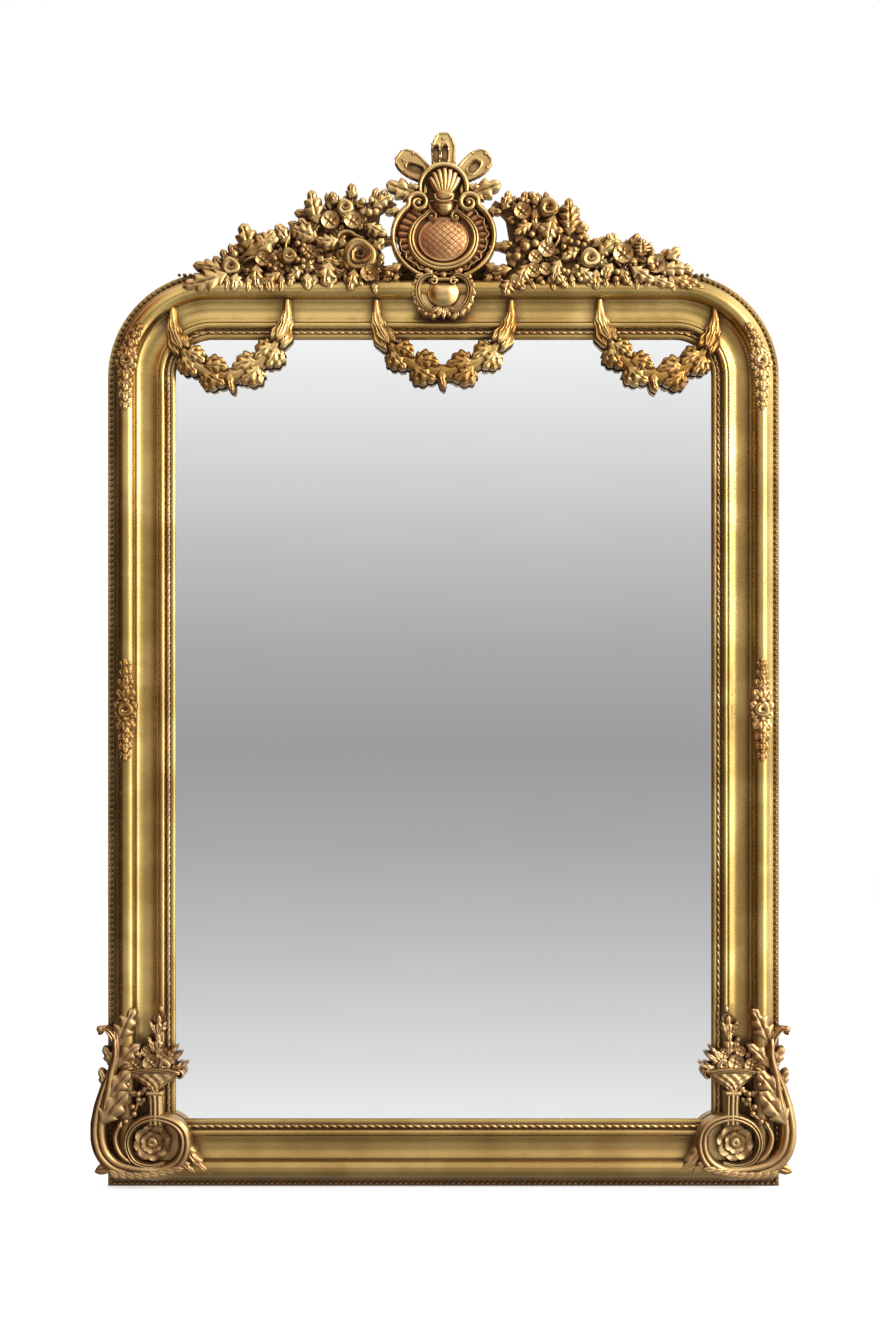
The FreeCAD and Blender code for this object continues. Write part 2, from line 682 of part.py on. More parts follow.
# A leaf cup swells towards the middle of the swag and the next one starts narrow inside it. Shares of half of
# the swag's length with the half width there.
GARLAND_CUPS = ((0.0, 6), (0.16, 7), (0.30, 12), (0.44, 19), (0.45, 12), (0.56, 17), (0.68, 25), (0.69, 15),
                (0.80, 21), (0.94, 28), (0.95, 16))
# The swag's path: shares of the span and of the drop.
GARLAND_PATH = ((0.0, 0.0), (0.01, 0.30), (0.08, 0.60), (0.21, 0.86), (0.36, 1.0), (0.5, 1.06),
                (0.64, 1.0), (0.79, 0.86), (0.92, 0.60), (0.99, 0.30), (1.0, 0.0))
GARLAND_DROP = 116.0
GARLAND_SIDES = 8


def garland(start, end):
    """Swag of six leaf cups, three from each end, with a bud below the middle."""
    path = smooth_path([
        (start.x + (end.x - start.x) * across, start.y + (end.y - start.y) * across - GARLAND_DROP * down,
         start.z + 6 * min(1, 2 * down)) for across, down in GARLAND_PATH], 201)
    half = [(share / 2, width) for share, width in GARLAND_CUPS]
    stations = half + [(1 - share, width) for share, width in reversed(half)]
    rings = []
    for share, width in stations:
        k = round(share * 200)
        ahead = path[min(k + 1, 200)] - path[max(k - 1, 0)]
        side = Vector(-ahead.y, ahead.x, 0).normalize()
        rings.append([
            path[k] + side * (width * math.cos(2 * math.pi * (j + 0.5) / GARLAND_SIDES))
            + Vector(0, 0, 0.55 * width * math.sin(2 * math.pi * (j + 0.5) / GARLAND_SIDES))
            for j in range(GARLAND_SIDES)])
    middle = path[100]
    bud = dome(middle.x, middle.y - 18, 8, 50, 7, stretch=1.9, heading=90, back=42)
    in_front = block(middle.x, middle.y, GARLAND_BACK_V, FAR, FAR, FAR)
    return biggest(joined([skin(rings), bud]).common(in_front))


def flower_chain(places):
    """Drop of flowers and leaves on the torus: x, y, half width and lobes of each, from the top."""
    pieces = []
    for k, (x, y, radius, lobes) in enumerate(places):
        pieces.append(dome(x, y, radius, 58, 8, lobes=lobes, stretch=1.25, heading=90 + 8 * (-1) ** k, back=42))
    return joined(pieces)


def drop_on_corner():
    """Left drop that follows the torus from the quarter turn down to the stile."""
    radius = CORNER_RADIUS - TORUS_U
    places = []
    for angle, size, lobes in ((145, 7, 3), (150.5, 9, 3), (156.5, 11, 3), (163.5, 13, 5), (171.5, 16, 5), (180, 14, 5)):
        turn = math.radians(angle)
        places.append((-CORNER_X + radius * math.cos(turn), STRAIGHT_TOP + radius * math.sin(turn), size, lobes))
    torus_x = TORUS_U - HALF_WIDTH
    return flower_chain(places + [(torus_x, STRAIGHT_TOP - 22, 12, 3), (torus_x, STRAIGHT_TOP - 42, 11, 3),
                                  (torus_x, STRAIGHT_TOP - 60, 10, 3)])


def drop_on_stile():
    """Left drop at mid height, with its largest flower in the middle."""
    torus_x, middle_y = TORUS_U - HALF_WIDTH, 816.0
    sizes = ((76, 9, 3), (61, 10, 3), (45, 12, 3), (25, 15, 5), (0, 19, 6), (-25, 15, 5), (-45, 12, 3), (-61, 11, 3),
             (-77, 10, 3))
    return flower_chain([(torus_x, middle_y + rise, size, lobes) for rise, size, lobes in sizes])


ROSETTE_CENTRE = Vector(-494, 81, 0)
# The great scroll's path: from its leafy head outside the stile, round the corner and up to the rosette.
CORNER_SCROLL_PATH = [
    (-556, 262, 0), (-556, 228, 0), (-566, 194, 0), (-577, 162, 0), (-585, 130, 0), (-587, 97, 0), (-579, 65, 0),
    (-560, 45, 0), (-534, 35, 0), (-502, 31, 0), (-472, 35, 0), (-449, 48, 0), (-438, 72, 0), (-443, 99, 0),
    (-463, 116, 0), (-494, 118, 0)]
CORNER_SCROLL_WIDTHS = (10, 15, 18, 21, 24, 25, 28, 28, 27, 25, 20, 18, 18, 15, 12, 8)
INNER_SPIRAL_PATH = [(-542, 116, 0), (-553, 90, 0), (-546, 66, 0), (-525, 51, 0), (-500, 46, 0), (-470, 50, 0)]
SPRIG_PATH = [(-515, 168, 0), (-520, 146, 0), (-526, 130, 0), (-542, 116, 0)]


def corner_scroll():
    """Great scroll of the lower left corner, with a leaf at its heel and a forked leaf at its toe."""
    pieces = [
        band(smooth_path(CORNER_SCROLL_PATH, 22), taper(*CORNER_SCROLL_WIDTHS), 61, 10),
        band(smooth_path(INNER_SPIRAL_PATH, 8), taper(12, 13, 13, 12), 61, 7),
        leaf(-442, 84, 64, 26, 318, 52, 10),
        leaf(-446, 66, 50, 20, 300, 52, 10),
        leaf(-562, 44, 38, 20, 208, 40, 10),
    ]
    return joined(pieces)


def corner_acanthus():
    """Ribbed stem of the great scroll's head and flank, with the leaves that sprout from it."""
    pieces = [
        leaf(-570, 124, 60, 36, 48, 62, 10, edge=LOBED_EDGE),
        leaf(-560, 172, 44, 26, 58, 60, 10),
        leaf(-553, 248, 66, 28, 70, 56, 10, edge=LOBED_EDGE),
        leaf(-552, 230, 58, 28, 128, 50, 12),
        band([Vector(-556, 262, 0), Vector(-556, 228, 0), Vector(-562, 200, 0), Vector(-560, 168, 0),
              Vector(-562, 130, 0)], taper(14, 16, 18, 20, 20), 66, 8),
    ]
    return joined(pieces)


def corner_rosette():
    """Six-petalled rosette on a round ground."""
    x, y = ROSETTE_CENTRE.x, ROSETTE_CENTRE.y
    ground = dome(x, y, 49, 44, 6, sides=14)
    petals = dome(x, y, 30, 56, 8, lobes=6)
    eye = dome(x, y, 10, 62, 7)
    return joined([ground, petals, eye])


def corner_basket():
    """Fluted stem that carries a basket of flowers, with a leafy spike above and a sprig beside."""
    x = -490.0
    rings = []
    for y, half_width, front in ((112, 9, 62), (128, 8, 62), (160, 7, 62), (168, 12, 64), (186, 22, 67), (196, 42, 68),
                                 (203, 42, 67)):
        rings.append([Vector(x - half_width, y, ORNAMENT_BACK_V), Vector(x - half_width, y, 52),
                      Vector(x - 0.5 * half_width, y, front), Vector(x + 0.5 * half_width, y, front),
                      Vector(x + half_width, y, 52), Vector(x + half_width, y, ORNAMENT_BACK_V)])
    pieces = [
        skin(rings),
        dome(x - 41, 198, 10, 56, 8),
        dome(x + 41, 196, 8, 54, 8),
        dome(x - 32, 213, 15, 54, 8, lobes=5),
        dome(x - 4, 218, 18, 56, 8, lobes=5),
        leaf(x + 6, 208, 56, 26, 14, 50, 12),
        leaf(x + 8, 222, 50, 24, 86, 50, 9),
        leaf(x + 6, 262, 44, 20, 82, 46, 8),
        band(smooth_path(SPRIG_PATH, 6), taper(12, 14, 12, 9), 54, 8),
        leaf(-500, 176, 26, 18, 214, 50, 8),
    ]
    return joined(pieces)


def garland_brads():
    """Square brads through the ends of the garlands into the head rail."""
    ends = [end for pair in GARLAND_ENDS.values() for end in pair]
    return [block(end.x, end.y - 5, 22, 1.6, 1.6, 22) for end in ends]


# ---- assembly -------------------------------------------------------------------------------------------
def build_frame():
    """The six members of the frame and the strips applied to them."""
    splines, plates = joint_splines(), fixing_plates()
    let_in = splines + panel_screws() + hanger_screws()
    left_stile = stile(MOULDING).cut(let_in)
    left_corner = corner(MOULDING).cut(splines + garland_brads())
    left_bead, left_slip = stile(BEAD_STRIP), stile(SIGHT_SLIP)
    return {
        "left_stile": [left_stile],
        "right_stile": [mirrored(left_stile)],
        "upper_corner_blocks": [left_corner, mirrored(left_corner)],
        "top_rail": [head_rail(MOULDING).cut(let_in + plates + plate_screws() + garland_brads())],
        "bottom_rail": [foot_rail(MOULDING).cut(let_in)],
        "bead_strip_left": [left_bead],
        "bead_strip_right": [mirrored(left_bead)],
        "bead_strip_top": [arched_top(BEAD_STRIP)],
        "bead_strip_bottom": [foot_rail(BEAD_STRIP)],
        "sight_slip_left": [left_slip],
        "sight_slip_right": [mirrored(left_slip)],
        "sight_slip_top": [arched_top(SIGHT_SLIP)],
        "sight_slip_bottom": [foot_rail(SIGHT_SLIP)],
        "joint_splines": splines,
        "crest_fixing_plates": [plate.cut(plate_screws()) for plate in plates],
    }


def build_glazing():
    """The glass and what holds it from behind."""
    glass_inset = REBATE_U + GLASS_GAP
    screws = panel_screws()
    return {
        "mirror_glass": [arched_sheet(glass_inset, GLASS_V, GLASS_THICKNESS)],
        "backing_felt": [arched_sheet(glass_inset, FELT_V, FELT_THICKNESS)],
        "glass_setting_blocks": setting_blocks(),
        "glass_retaining_blocks": retaining_blocks(),
        "back_panel": [arched_sheet(PANEL_INSET, PANEL_V, PANEL_THICKNESS).cut(screws)],
        "back_panel_screws": screws,
    }


def build_hangers():
    """The two hangers and their screws."""
    screws = hanger_screws()
    strap, ring = hanger_strap().cut(screws), hanger_ring()
    return {
        "left_hanger_strap": [strap],
        "right_hanger_strap": [mirrored(strap)],
        "left_hanger_ring": [ring],
        "right_hanger_ring": [mirrored(ring)],
        "hanger_screws": screws,
    }


def build_crest(head):
    """The crest, each piece fitted to the ones that carry it."""
    plate = seated(cartouche_plate(), *head)
    rim = seated(inner_ring(), plate)
    middle = seated(boss(), plate, rim)
    left_scroll = seated(cartouche_scroll(), *head, plate)
    scrolls = [left_scroll, mirrored(left_scroll)]
    shell = seated(shell_palmette(), plate, rim, middle, *scrolls)
    arch = seated(crest_arch(), plate, *scrolls, shell)
    petals = [seated(crest_petal(heading, reach), arch, shell) for heading, reach in ((90, 98), (143, 93), (37, 93))]
    shield = seated(lower_shield(), *head)
    small = seated(lower_cartouche(), *head, plate, rim, shield, *scrolls)
    laid = [*head, plate, small, *scrolls]
    screws = plate_screws()
    return {
        "crest_board": [crest_board().cut(screws)],
        "crest_plate_screws": screws,
        "cartouche_plate": [plate],
        "cartouche_inner_ring": [rim],
        "cartouche_boss": [middle],
        "cartouche_left_scroll": [scrolls[0]],
        "cartouche_right_scroll": [scrolls[1]],
        "shell_palmette": [shell],
        "crest_arch": [arch],
        "crest_petal_centre": [petals[0]],
        "crest_petal_left": [petals[1]],
        "crest_petal_right": [petals[2]],
        "lower_cartouche": [small],
        "lower_shield": [shield],
        "left_flower_spray": [seated(spray(LEFT_SPRAY), *laid)],
        "right_flower_spray": [seated(spray(RIGHT_SPRAY), *laid)],
    }


def build_corner_ornaments(members):
    """The four cast pieces of each lower corner."""
    rosette = seated(corner_rosette(), *members)
    scroll = seated(corner_scroll(), *members, rosette)
    acanthus = seated(corner_acanthus(), *members, scroll)
    basket = seated(corner_basket(), *members, rosette, scroll, acanthus)
    left = {"scroll": scroll, "rosette": rosette, "acanthus": acanthus, "basket": basket}
    nodes = {f"left_corner_{name}": [piece] for name, piece in left.items()}
    nodes.update({f"right_corner_{name}": [mirrored(piece)] for name, piece in left.items()})
    return nodes


def build_all():
    """Every node of the mirror, by name."""
    seats = seat_members()
    nodes = {**build_frame(), **build_glazing(), **build_hangers()}
    nodes.update(build_crest(seats["head"]))
    nodes.update(build_corner_ornaments(seats["left"] + seats["foot"]))
    nodes["garland_brads"] = garland_brads()
    under_garland = seats["head"] + seats["left"] + seats["right"] + nodes["garland_brads"]
    under_garland += [nodes[name][0] for name in ("lower_cartouche", "left_flower_spray", "right_flower_spray")]
    for name, ends in GARLAND_ENDS.items():
        nodes[f"{name}_garland"] = [seated(garland(*ends), *under_garland)]
    corner_drop = seated(drop_on_corner(), *seats["head"], *seats["left"])
    stile_drop = seated(drop_on_stile(), *seats["left"])
    nodes["upper_left_drop"], nodes["upper_right_drop"] = [corner_drop], [mirrored(corner_drop)]
    nodes["left_stile_drop"], nodes["right_stile_drop"] = [stile_drop], [mirrored(stile_drop)]
    return nodes


def save(name, solids):
    """Stands a node up and writes it."""
    node = Part.makeCompound(solids)
    node.rotate(Vector(0, 0, 0), Vector(1, 0, 0), 90)
    node.exportStep(os.path.join("parts", name + ".step"))


def main():
    os.makedirs("parts", exist_ok=True)
    nodes = build_all()
    for name, solids in nodes.items():
        save(name, solids)
        valid = all(solid.isValid() for solid in solids)
        print(f"{name}: {len(solids)} solid(s), {sum(s.Volume for s in solids) / 1000:.1f} cm3, valid {valid}")


main()
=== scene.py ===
"""Looks of a gilt trumeau mirror: an arched moulding with beading, a flower crest round a pierced cartouche,
three leaf garlands, four flower drops and two scrolled lower corners, round a plate of silvered glass.

Every piece is drawn as the maker would draw it, from the front and in millimetres: x to the right, y up and
z out of the wall. A finished mesh is then stood up in the frame's own metres.
"""

import bisect
import logging
import math
import random
from dataclasses import dataclass, field
from enum import Enum
from typing import Callable, Sequence

import bmesh
import bpy
from mathutils import Matrix, Vector


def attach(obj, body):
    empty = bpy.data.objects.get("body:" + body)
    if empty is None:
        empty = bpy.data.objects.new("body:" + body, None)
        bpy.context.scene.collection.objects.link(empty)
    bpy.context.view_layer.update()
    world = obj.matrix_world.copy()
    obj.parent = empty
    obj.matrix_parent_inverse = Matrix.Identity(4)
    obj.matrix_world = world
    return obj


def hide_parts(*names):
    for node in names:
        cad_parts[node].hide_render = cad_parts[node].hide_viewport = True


logging.basicConfig(level=logging.INFO, format="%(message)s")
log = logging.getLogger("trumeau")

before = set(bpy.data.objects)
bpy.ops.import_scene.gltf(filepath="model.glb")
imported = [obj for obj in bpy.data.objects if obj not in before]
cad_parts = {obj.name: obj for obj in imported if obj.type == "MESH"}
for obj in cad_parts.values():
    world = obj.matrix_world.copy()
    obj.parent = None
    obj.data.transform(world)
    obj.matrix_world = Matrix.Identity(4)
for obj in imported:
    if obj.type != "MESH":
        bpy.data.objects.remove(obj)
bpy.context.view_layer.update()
BODY = "mirror"

MM = 0.001
STAND_UP = Matrix(((MM, 0, 0, 0), (0, 0, -MM, 0), (0, MM, 0, 0), (0, 0, 0, 1)))
TURN_OVER = Matrix.Diagonal((-1, 1, 1, 1))
# The carving stays this far inside the box of the solids, in millimetres.
SIDE_LIMIT = 599.0
TOP_LIMIT = 1800.4
FOOT_LIMIT = 0.3
FRONT_LIMIT = 71.6
# Edges sharper than this stay crisp; the others are shaded round.
SHARP_ANGLE = math.radians(48)
SIDES = (("left", False), ("right", True))
SMOOTH = {"interpolation_type": "SMOOTHSTEP"}
WHITE = (1, 1, 1, 1)

Point = tuple[float, float]
Shape = Callable[[float, float], Vector]
Width = Callable[[float], float]
Station = tuple[Vector, Vector]


# ---- drawing helpers -------------------------------------
def smooth(low: float, high: float, value: float) -> float:
    """Eases from 0 at low to 1 at high."""
    share = min(1.0, max(0.0, (value - low) / (high - low)))
    return share * share * (3 - 2 * share)


def ridge(value: float, sharpness: float = 1.0) -> float:
    """A rounded ridge that repeats with every whole number, 0 in its grooves and 1 on its crests."""
    return abs(math.sin(math.pi * value)) ** sharpness


def dome(value: float, fullness: float = 1.0) -> float:
    """A round section, 1 over its middle; it falls to 0 at a value of -1 or 1 if its fullness is 1."""
    return math.sqrt(max(0.0, 1 - fullness * value * value))


def bell(value: float, width: float) -> float:
    """A soft bump or groove, 1 in its middle and nothing beyond twice its width."""
    return math.exp(-(value / width) ** 2)


def leftward(ahead: Vector) -> Vector:
    """The direction to the left of another one, in the front plane."""
    return Vector((-ahead.y, ahead.x, 0))


def turned(root: Sequence[float], turn: float, along: float, across: float) -> Point:
    """A point by its distances along and across a line that leaves a root at an angle in radians."""
    return (root[0] + along * math.cos(turn) - across * math.sin(turn),
            root[1] + along * math.sin(turn) + across * math.cos(turn))


def tapered(*widths: float) -> Width:
    """Width along a stem.

    Args:
        widths: the widths at even shares of its length.

    Returns:
        A function that gives the width at any share.
    """
    def width(share: float) -> float:
        """The width at a share of the length."""
        place = min(max(share, 0.0), 1.0) * (len(widths) - 1)
        k = min(int(place), len(widths) - 2)
        return widths[k] + (widths[k + 1] - widths[k]) * smooth(0, 1, place - k)
    return width


class Spine:
    """A smooth line through a few points, read by the share of its length."""

    def __init__(self, points: Sequence[Sequence[float]], samples: int = 14) -> None:
        """Samples the line.

        Args:
            points: (x, y) or (x, y, z) points that the line passes through.
            samples: points sampled between each two given ones.
        """
        knots = [Vector((p[0], p[1], p[2] if len(p) > 2 else 0.0)) for p in points]
        knots = [2 * knots[0] - knots[1]] + knots + [2 * knots[-1] - knots[-2]]
        self.line = [knots[1]]
        for a, b, c, d in zip(knots, knots[1:], knots[2:], knots[3:]):
            for k in range(1, samples + 1):
                t = k / samples
                self.line.append(0.5 * (2 * b + (c - a) * t + (2 * a - 5 * b + 4 * c - d) * t * t
                                        + (3 * b - a - 3 * c + d) * t ** 3))
        self.lengths = [0.0]
        for a, b in zip(self.line, self.line[1:]):
            self.lengths.append(self.lengths[-1] + (b - a).length)

    @property
    def length(self) -> float:
        """The whole length."""
        return self.lengths[-1]

    def at(self, share: float) -> tuple[Vector, Vector]:
        """Reads the line.

        Args:
            share: how far along it, from 0 to 1.

        Returns:
            The point there, and the unit direction there in the front plane.
        """
        target = min(max(share, 0.0), 1.0) * self.length
        k = min(max(bisect.bisect_left(self.lengths, target) - 1, 0), len(self.line) - 2)
        run = self.lengths[k + 1] - self.lengths[k]
        t = (target - self.lengths[k]) / run if run else 0.0
        ahead = self.line[min(k + 2, len(self.line) - 1)] - self.line[max(k - 1, 0)]
        return self.line[k].lerp(self.line[k + 1], t), Vector((ahead.x, ahead.y, 0)).normalized()


def around(centre: Point, radii: Point, turn: float) -> Point:
    """The point of an oval at an angle in radians."""
    return centre[0] + radii[0] * math.cos(turn), centre[1] + radii[1] * math.sin(turn)


def oval(centre: Point, radii: Point, start: float, stop: float, count: int) -> list[Point]:
    """Points round an oval.

    Args:
        centre, radii: its place and size.
        start, stop: the angles of its ends, in degrees.
        count: how many points.

    Returns:
        The points.
    """
    return [around(centre, radii, math.radians(start + (stop - start) * k / (count - 1)))
            for k in range(count)]


def spiral(centre: Point, outer: float, inner: float, start: float, turns: float,
           count: int) -> list[Point]:
    """Points of a volute that closes in on its centre.

    Args:
        centre: its eye.
        outer, inner: its radius at the start and at the end.
        start: the angle of its start, in degrees.
        turns: how often it goes round; a negative number winds clockwise.
        count: how many points.

    Returns:
        The points.
    """
    points = []
    for k in range(count):
        share = k / (count - 1)
        angle = math.radians(start) + 2 * math.pi * turns * share
        radius = outer + (inner - outer) * share
        points.append(around(centre, (radius, radius), angle))
    return points


def flipped(points: Sequence[Sequence[float]]) -> list[tuple[float, ...]]:
    """The same points on the other side of the centre line."""
    return [(-p[0], *p[1:]) for p in points]


# ---- carving ---------------------------------------------
@dataclass
class Carving:
    """One carved piece in the making. Each form is a closed relief that rises from the ground plane."""

    ground: float = 32.0
    mesh: bmesh.types.BMesh = field(default_factory=bmesh.new)

    def relief(self, rows: int, columns: int, shape: Shape, ground: float | None = None) -> None:
        """Shapes a grid, then drops its edge to the ground and closes it there.

        Args:
            rows: cells along the form.
            columns: cells across it.
            shape: the place of the point at share 0 to 1 along and -1 to 1 across.
            ground: the height of the flat back, if it isn't the carving's own.
        """
        bm, back = self.mesh, self.ground if ground is None else ground
        grid = bmesh.ops.create_grid(bm, x_segments=rows, y_segments=columns, size=1.0)["verts"]
        for vert in grid:
            vert.co = shape((vert.co.x + 1) / 2, vert.co.y)
        kept = set(bm.verts[:]) - set(grid)
        bmesh.ops.remove_doubles(bm, verts=grid, dist=0.02)
        made = [vert for vert in bm.verts if vert not in kept]
        rim = list({edge for vert in made for edge in vert.link_edges if edge.is_boundary})
        skirt = bmesh.ops.extrude_edge_only(bm, edges=rim)["geom"]
        for vert in skirt:
            if isinstance(vert, bmesh.types.BMVert):
                vert.co.z = back
        foot = [edge for edge in skirt if isinstance(edge, bmesh.types.BMEdge) and edge.is_boundary]
        bmesh.ops.edgeloop_fill(bm, edges=foot)

    def disc(self, centre: Point, radii: Point, height: Callable[[float, float], float],
             spokes: int = 48, rings: int = 12, edge: Callable[[float], float] = lambda angle: 1.0,
             ground: float | None = None) -> None:
        """A round or oval relief.

        Args:
            centre, radii: its place and size.
            height: its height at an angle in radians and a share of the radius.
            spokes, rings: cells round it and from its middle to its edge.
            edge: how far its outline reaches at an angle, as a share of the radius.
            ground: the height of its flat back.
        """
        def shape(s: float, t: float) -> Vector:
            """The place of a point of the disc."""
            angle, share = 2 * math.pi * s, (t + 1) / 2
            reach = share * edge(angle)
            return Vector((*around(centre, (radii[0] * reach, radii[1] * reach), angle),
                           height(angle, share)))
        self.relief(spokes, rings, shape, ground)

    def leaf(self, x: float, y: float, heading: float, length: float, width: float, z: float,
             bend: float = 0.0, lobes: int = 3, rise: float = 6.0, curl: float = 2.0,
             notch: float = 0.34, ground: float | None = None) -> None:
        """A veined leaf with lobed edges.

        Args:
            x, y: its root.
            heading: its direction at the root in degrees, 0 to the right.
            length, width: its size.
            z: the height of its edge.
            bend: how far it turns from root to tip, in degrees.
            lobes: lobes on each side.
            rise: how much its middle stands above its edge.
            curl: how much its tip lifts, or sinks if negative.
            notch: depth of the cuts between the lobes, as a share of the width.
            ground: the height of its flat back.
        """
        turn, bow = math.radians(heading), math.radians(bend)

        def shape(s: float, t: float) -> Vector:
            """The place of a point of the leaf."""
            angle = bow * s
            a = length * (math.sin(angle) / bow if bow else s)
            b = length * ((1 - math.cos(angle)) / bow if bow else 0.0)
            # Each lobe fills out slowly and is cut back sharply, and leans towards the tip.
            beat = math.sin(math.pi * ((lobes * s) % 1.0) ** 1.5)
            outline = max(0.0, math.sin(math.pi * s ** 0.75)) ** 0.7
            half = width / 2 * outline * (1 - notch * (1 - beat))
            lean = 0.12 * length * abs(t) * beat * (1 - s)
            a += lean * math.cos(angle) - half * t * math.sin(angle)
            b += lean * math.sin(angle) + half * t * math.cos(angle)
            crown = rise * math.sin(math.pi * (0.12 + 0.80 * s)) * (1 - 0.75 * t * t)
            midrib = -0.09 * width * bell(t, 0.16) * math.sin(math.pi * s)
            swell = math.sin(math.pi * ((lobes * s + 0.35 * (1 - abs(t))) % 1.0) ** 1.5)
            vein = 0.05 * width * abs(t) ** 0.8 * (2 * swell - 1)
            return Vector((*turned((x, y), turn, a, b), z + crown + midrib + vein + curl * s ** 3))
        self.relief(6 * lobes, 8, shape, ground)

    def petal(self, x: float, y: float, heading: float, length: float, width: float, z: float,
              cup: float) -> None:
        """A rounded, cupped petal with a rolled lip.

        Args:
            x, y: its root.
            heading: its direction in degrees.
            length, width: its size.
            z: the height of its root.
            cup: how much its lip stands above that.
        """
        turn = math.radians(heading)

        def shape(s: float, t: float) -> Vector:
            """The place of a point of the petal."""
            half = width / 2 * max(0.0, math.sin(math.pi * s ** 1.25)) ** 0.5
            height = cup * (s ** 1.4) + 0.10 * width * t * t - 0.35 * cup * smooth(0.78, 1.0, s)
            groove = 0.05 * width * bell(t, 0.22) * math.sin(math.pi * s)
            return Vector((*turned((x, y), turn, length * s, half * t), z + height - groove))
        self.relief(9, 6, shape)

    def flower(self, x: float, y: float, radius: float, z: float, petals: int = 5,
               turn: float = 12.0) -> None:
        """An open flower with a beaded eye.

        Args:
            x, y, radius: its place and size.
            z: the height of its heart.
            petals: how many petals, each second one a little higher.
            turn: the direction of the first one, in degrees.
        """
        width = 2.3 * radius * math.sin(math.pi / petals)
        for k in range(petals):
            self.petal(x, y, turn + 360 * k / petals, radius, width, z + 0.6 * (k % 2), 0.28 * radius)
        self.berry(x, y, z + 0.10 * radius, 0.27 * radius)

    def rose(self, x: float, y: float, radius: float, z: float, turns: float = 2.6,
             lift: float = 0.55) -> None:
        """A full-blown rose: a low dome of petals wound in a spiral.

        Args:
            x, y, radius: its place and size.
            z: the height of its edge.
            turns: how often the petals wind round.
            lift: how much its middle stands above its edge, as a share of the radius.
        """
        def height(angle: float, share: float) -> float:
            """The height of the winding petals, which sink at the heart."""
            wind = turns * share - angle / (2 * math.pi) + 0.03 * math.sin(3 * angle)
            lip = 0.26 * radius * (wind - math.floor(wind)) ** 1.3 * (1 - share ** 5)
            return z + lift * radius * dome(share, 0.9) + lip - 0.12 * radius * bell(share, 0.16)

        def edge(angle: float) -> float:
            """A faintly three-sided outline."""
            return 1 + 0.06 * math.cos(3 * angle + 0.6)
        self.disc((x, y), (radius, radius), height, 44, 16, edge)

    def berry(self, x: float, y: float, z: float, radius: float, stretch: float = 1.0) -> None:
        """A ball, or an egg if it is stretched along y."""
        place = Matrix.Translation((x, y, z)) @ Matrix.Diagonal((1, stretch, 1, 1))
        bmesh.ops.create_icosphere(self.mesh, subdivisions=2, radius=radius, matrix=place)

    def scroll(self, spine: Spine, width: Width, z: float, crown: float, ridges: int = 1,
               rows: int = 0, columns: int = 8, ground: float | None = None) -> None:
        """A ridged band or stem along a spine.

        Args:
            spine: the line that it follows; its own z adds to the height.
            width: full width at each share of the length.
            z: the height of its edges.
            crown: how much it stands above them.
            ridges: ridges side by side along it.
            rows, columns: cells along and across; 0 rows picks them from the length.
            ground: the height of its flat back.
        """
        def shape(s: float, t: float) -> Vector:
            """The place of a point of the band, which is lower at its two ends."""
            point, ahead = spine.at(s)
            side = leftward(ahead) * (width(s) / 2 * t)
            fine = 0.42 * crown * (ridge(ridges * (t + 1) / 2, 0.7) - 1) if ridges > 1 else 0.0
            ends = min(1.0, 0.35 + 8 * min(s, 1 - s))
            return point + side + Vector((0, 0, z + (crown + fine) * dome(t) * ends))
        self.relief(rows or max(8, int(spine.length / 4.5)), columns, shape, ground)

    def finish(self, name: str, materials: Sequence[bpy.types.Material], slot: str,
               replaces: Sequence[str] = (), mirror: bool = False) -> bpy.types.Object:
        """Closes the carving and hangs it on the mirror.

        Args:
            name: the piece's name.
            materials: its finishes; faces pick one by material_index.
            slot: the record's material slot; not used.
            replaces: the solids that it stands for.
            mirror: whether it is turned over to the other side of the centre line.

        Returns:
            The finished piece.
        """
        bm = self.mesh
        if mirror:
            bmesh.ops.transform(bm, matrix=TURN_OVER, verts=bm.verts)
        for vert in bm.verts:
            vert.co.x = min(SIDE_LIMIT, max(-SIDE_LIMIT, vert.co.x))
            vert.co.y = min(TOP_LIMIT, max(FOOT_LIMIT, vert.co.y))
            vert.co.z = min(FRONT_LIMIT, vert.co.z)
        bmesh.ops.dissolve_degenerate(bm, dist=0.005, edges=bm.edges)
        bmesh.ops.recalc_face_normals(bm, faces=bm.faces)
        self._mark_hollows()
        for edge in bm.edges:
            edge.smooth = len(edge.link_faces) == 2 and edge.calc_face_angle(0.0) < SHARP_ANGLE
        for face in bm.faces:
            face.smooth = True
        bmesh.ops.transform(bm, matrix=STAND_UP, verts=bm.verts)
        data = bpy.data.meshes.new(name)
        bm.to_mesh(data)
        bm.free()
        piece = bpy.data.objects.new(name, data)
        bpy.context.scene.collection.objects.link(piece)
        for material in materials:
            data.materials.append(material)
        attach(piece, BODY)
        if replaces:
            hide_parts(*replaces)
        log.info("%s: %d faces", name, len(data.polygons))
        return piece

    def _mark_hollows(self) -> None:
        """Stores how hollow the surface is at each point: the gilding's wax and painted shade lie there."""
        bm = self.mesh
        bm.normal_update()
        layer = bm.verts.layers.float.new("hollow")
        for vert in bm.verts:
            near = [edge.other_vert(vert).co for edge in vert.link_edges]
            if near:
                middle = sum(near, Vector()) / len(near)
                reach = sum((p - vert.co).length for p in near) / len(near)
                depth = 2.2 * (middle - vert.co).dot(vert.normal) / max(reach, 1e-4)
                vert[layer] = max(-1.0, min(1.0, depth))


# ---- finishes --------------------------------------------
# Numbers of the sockets that share a name with others on their node.
MIX_A, MIX_B = 6, 7
LEVEL_A, LEVEL_B = 2, 3


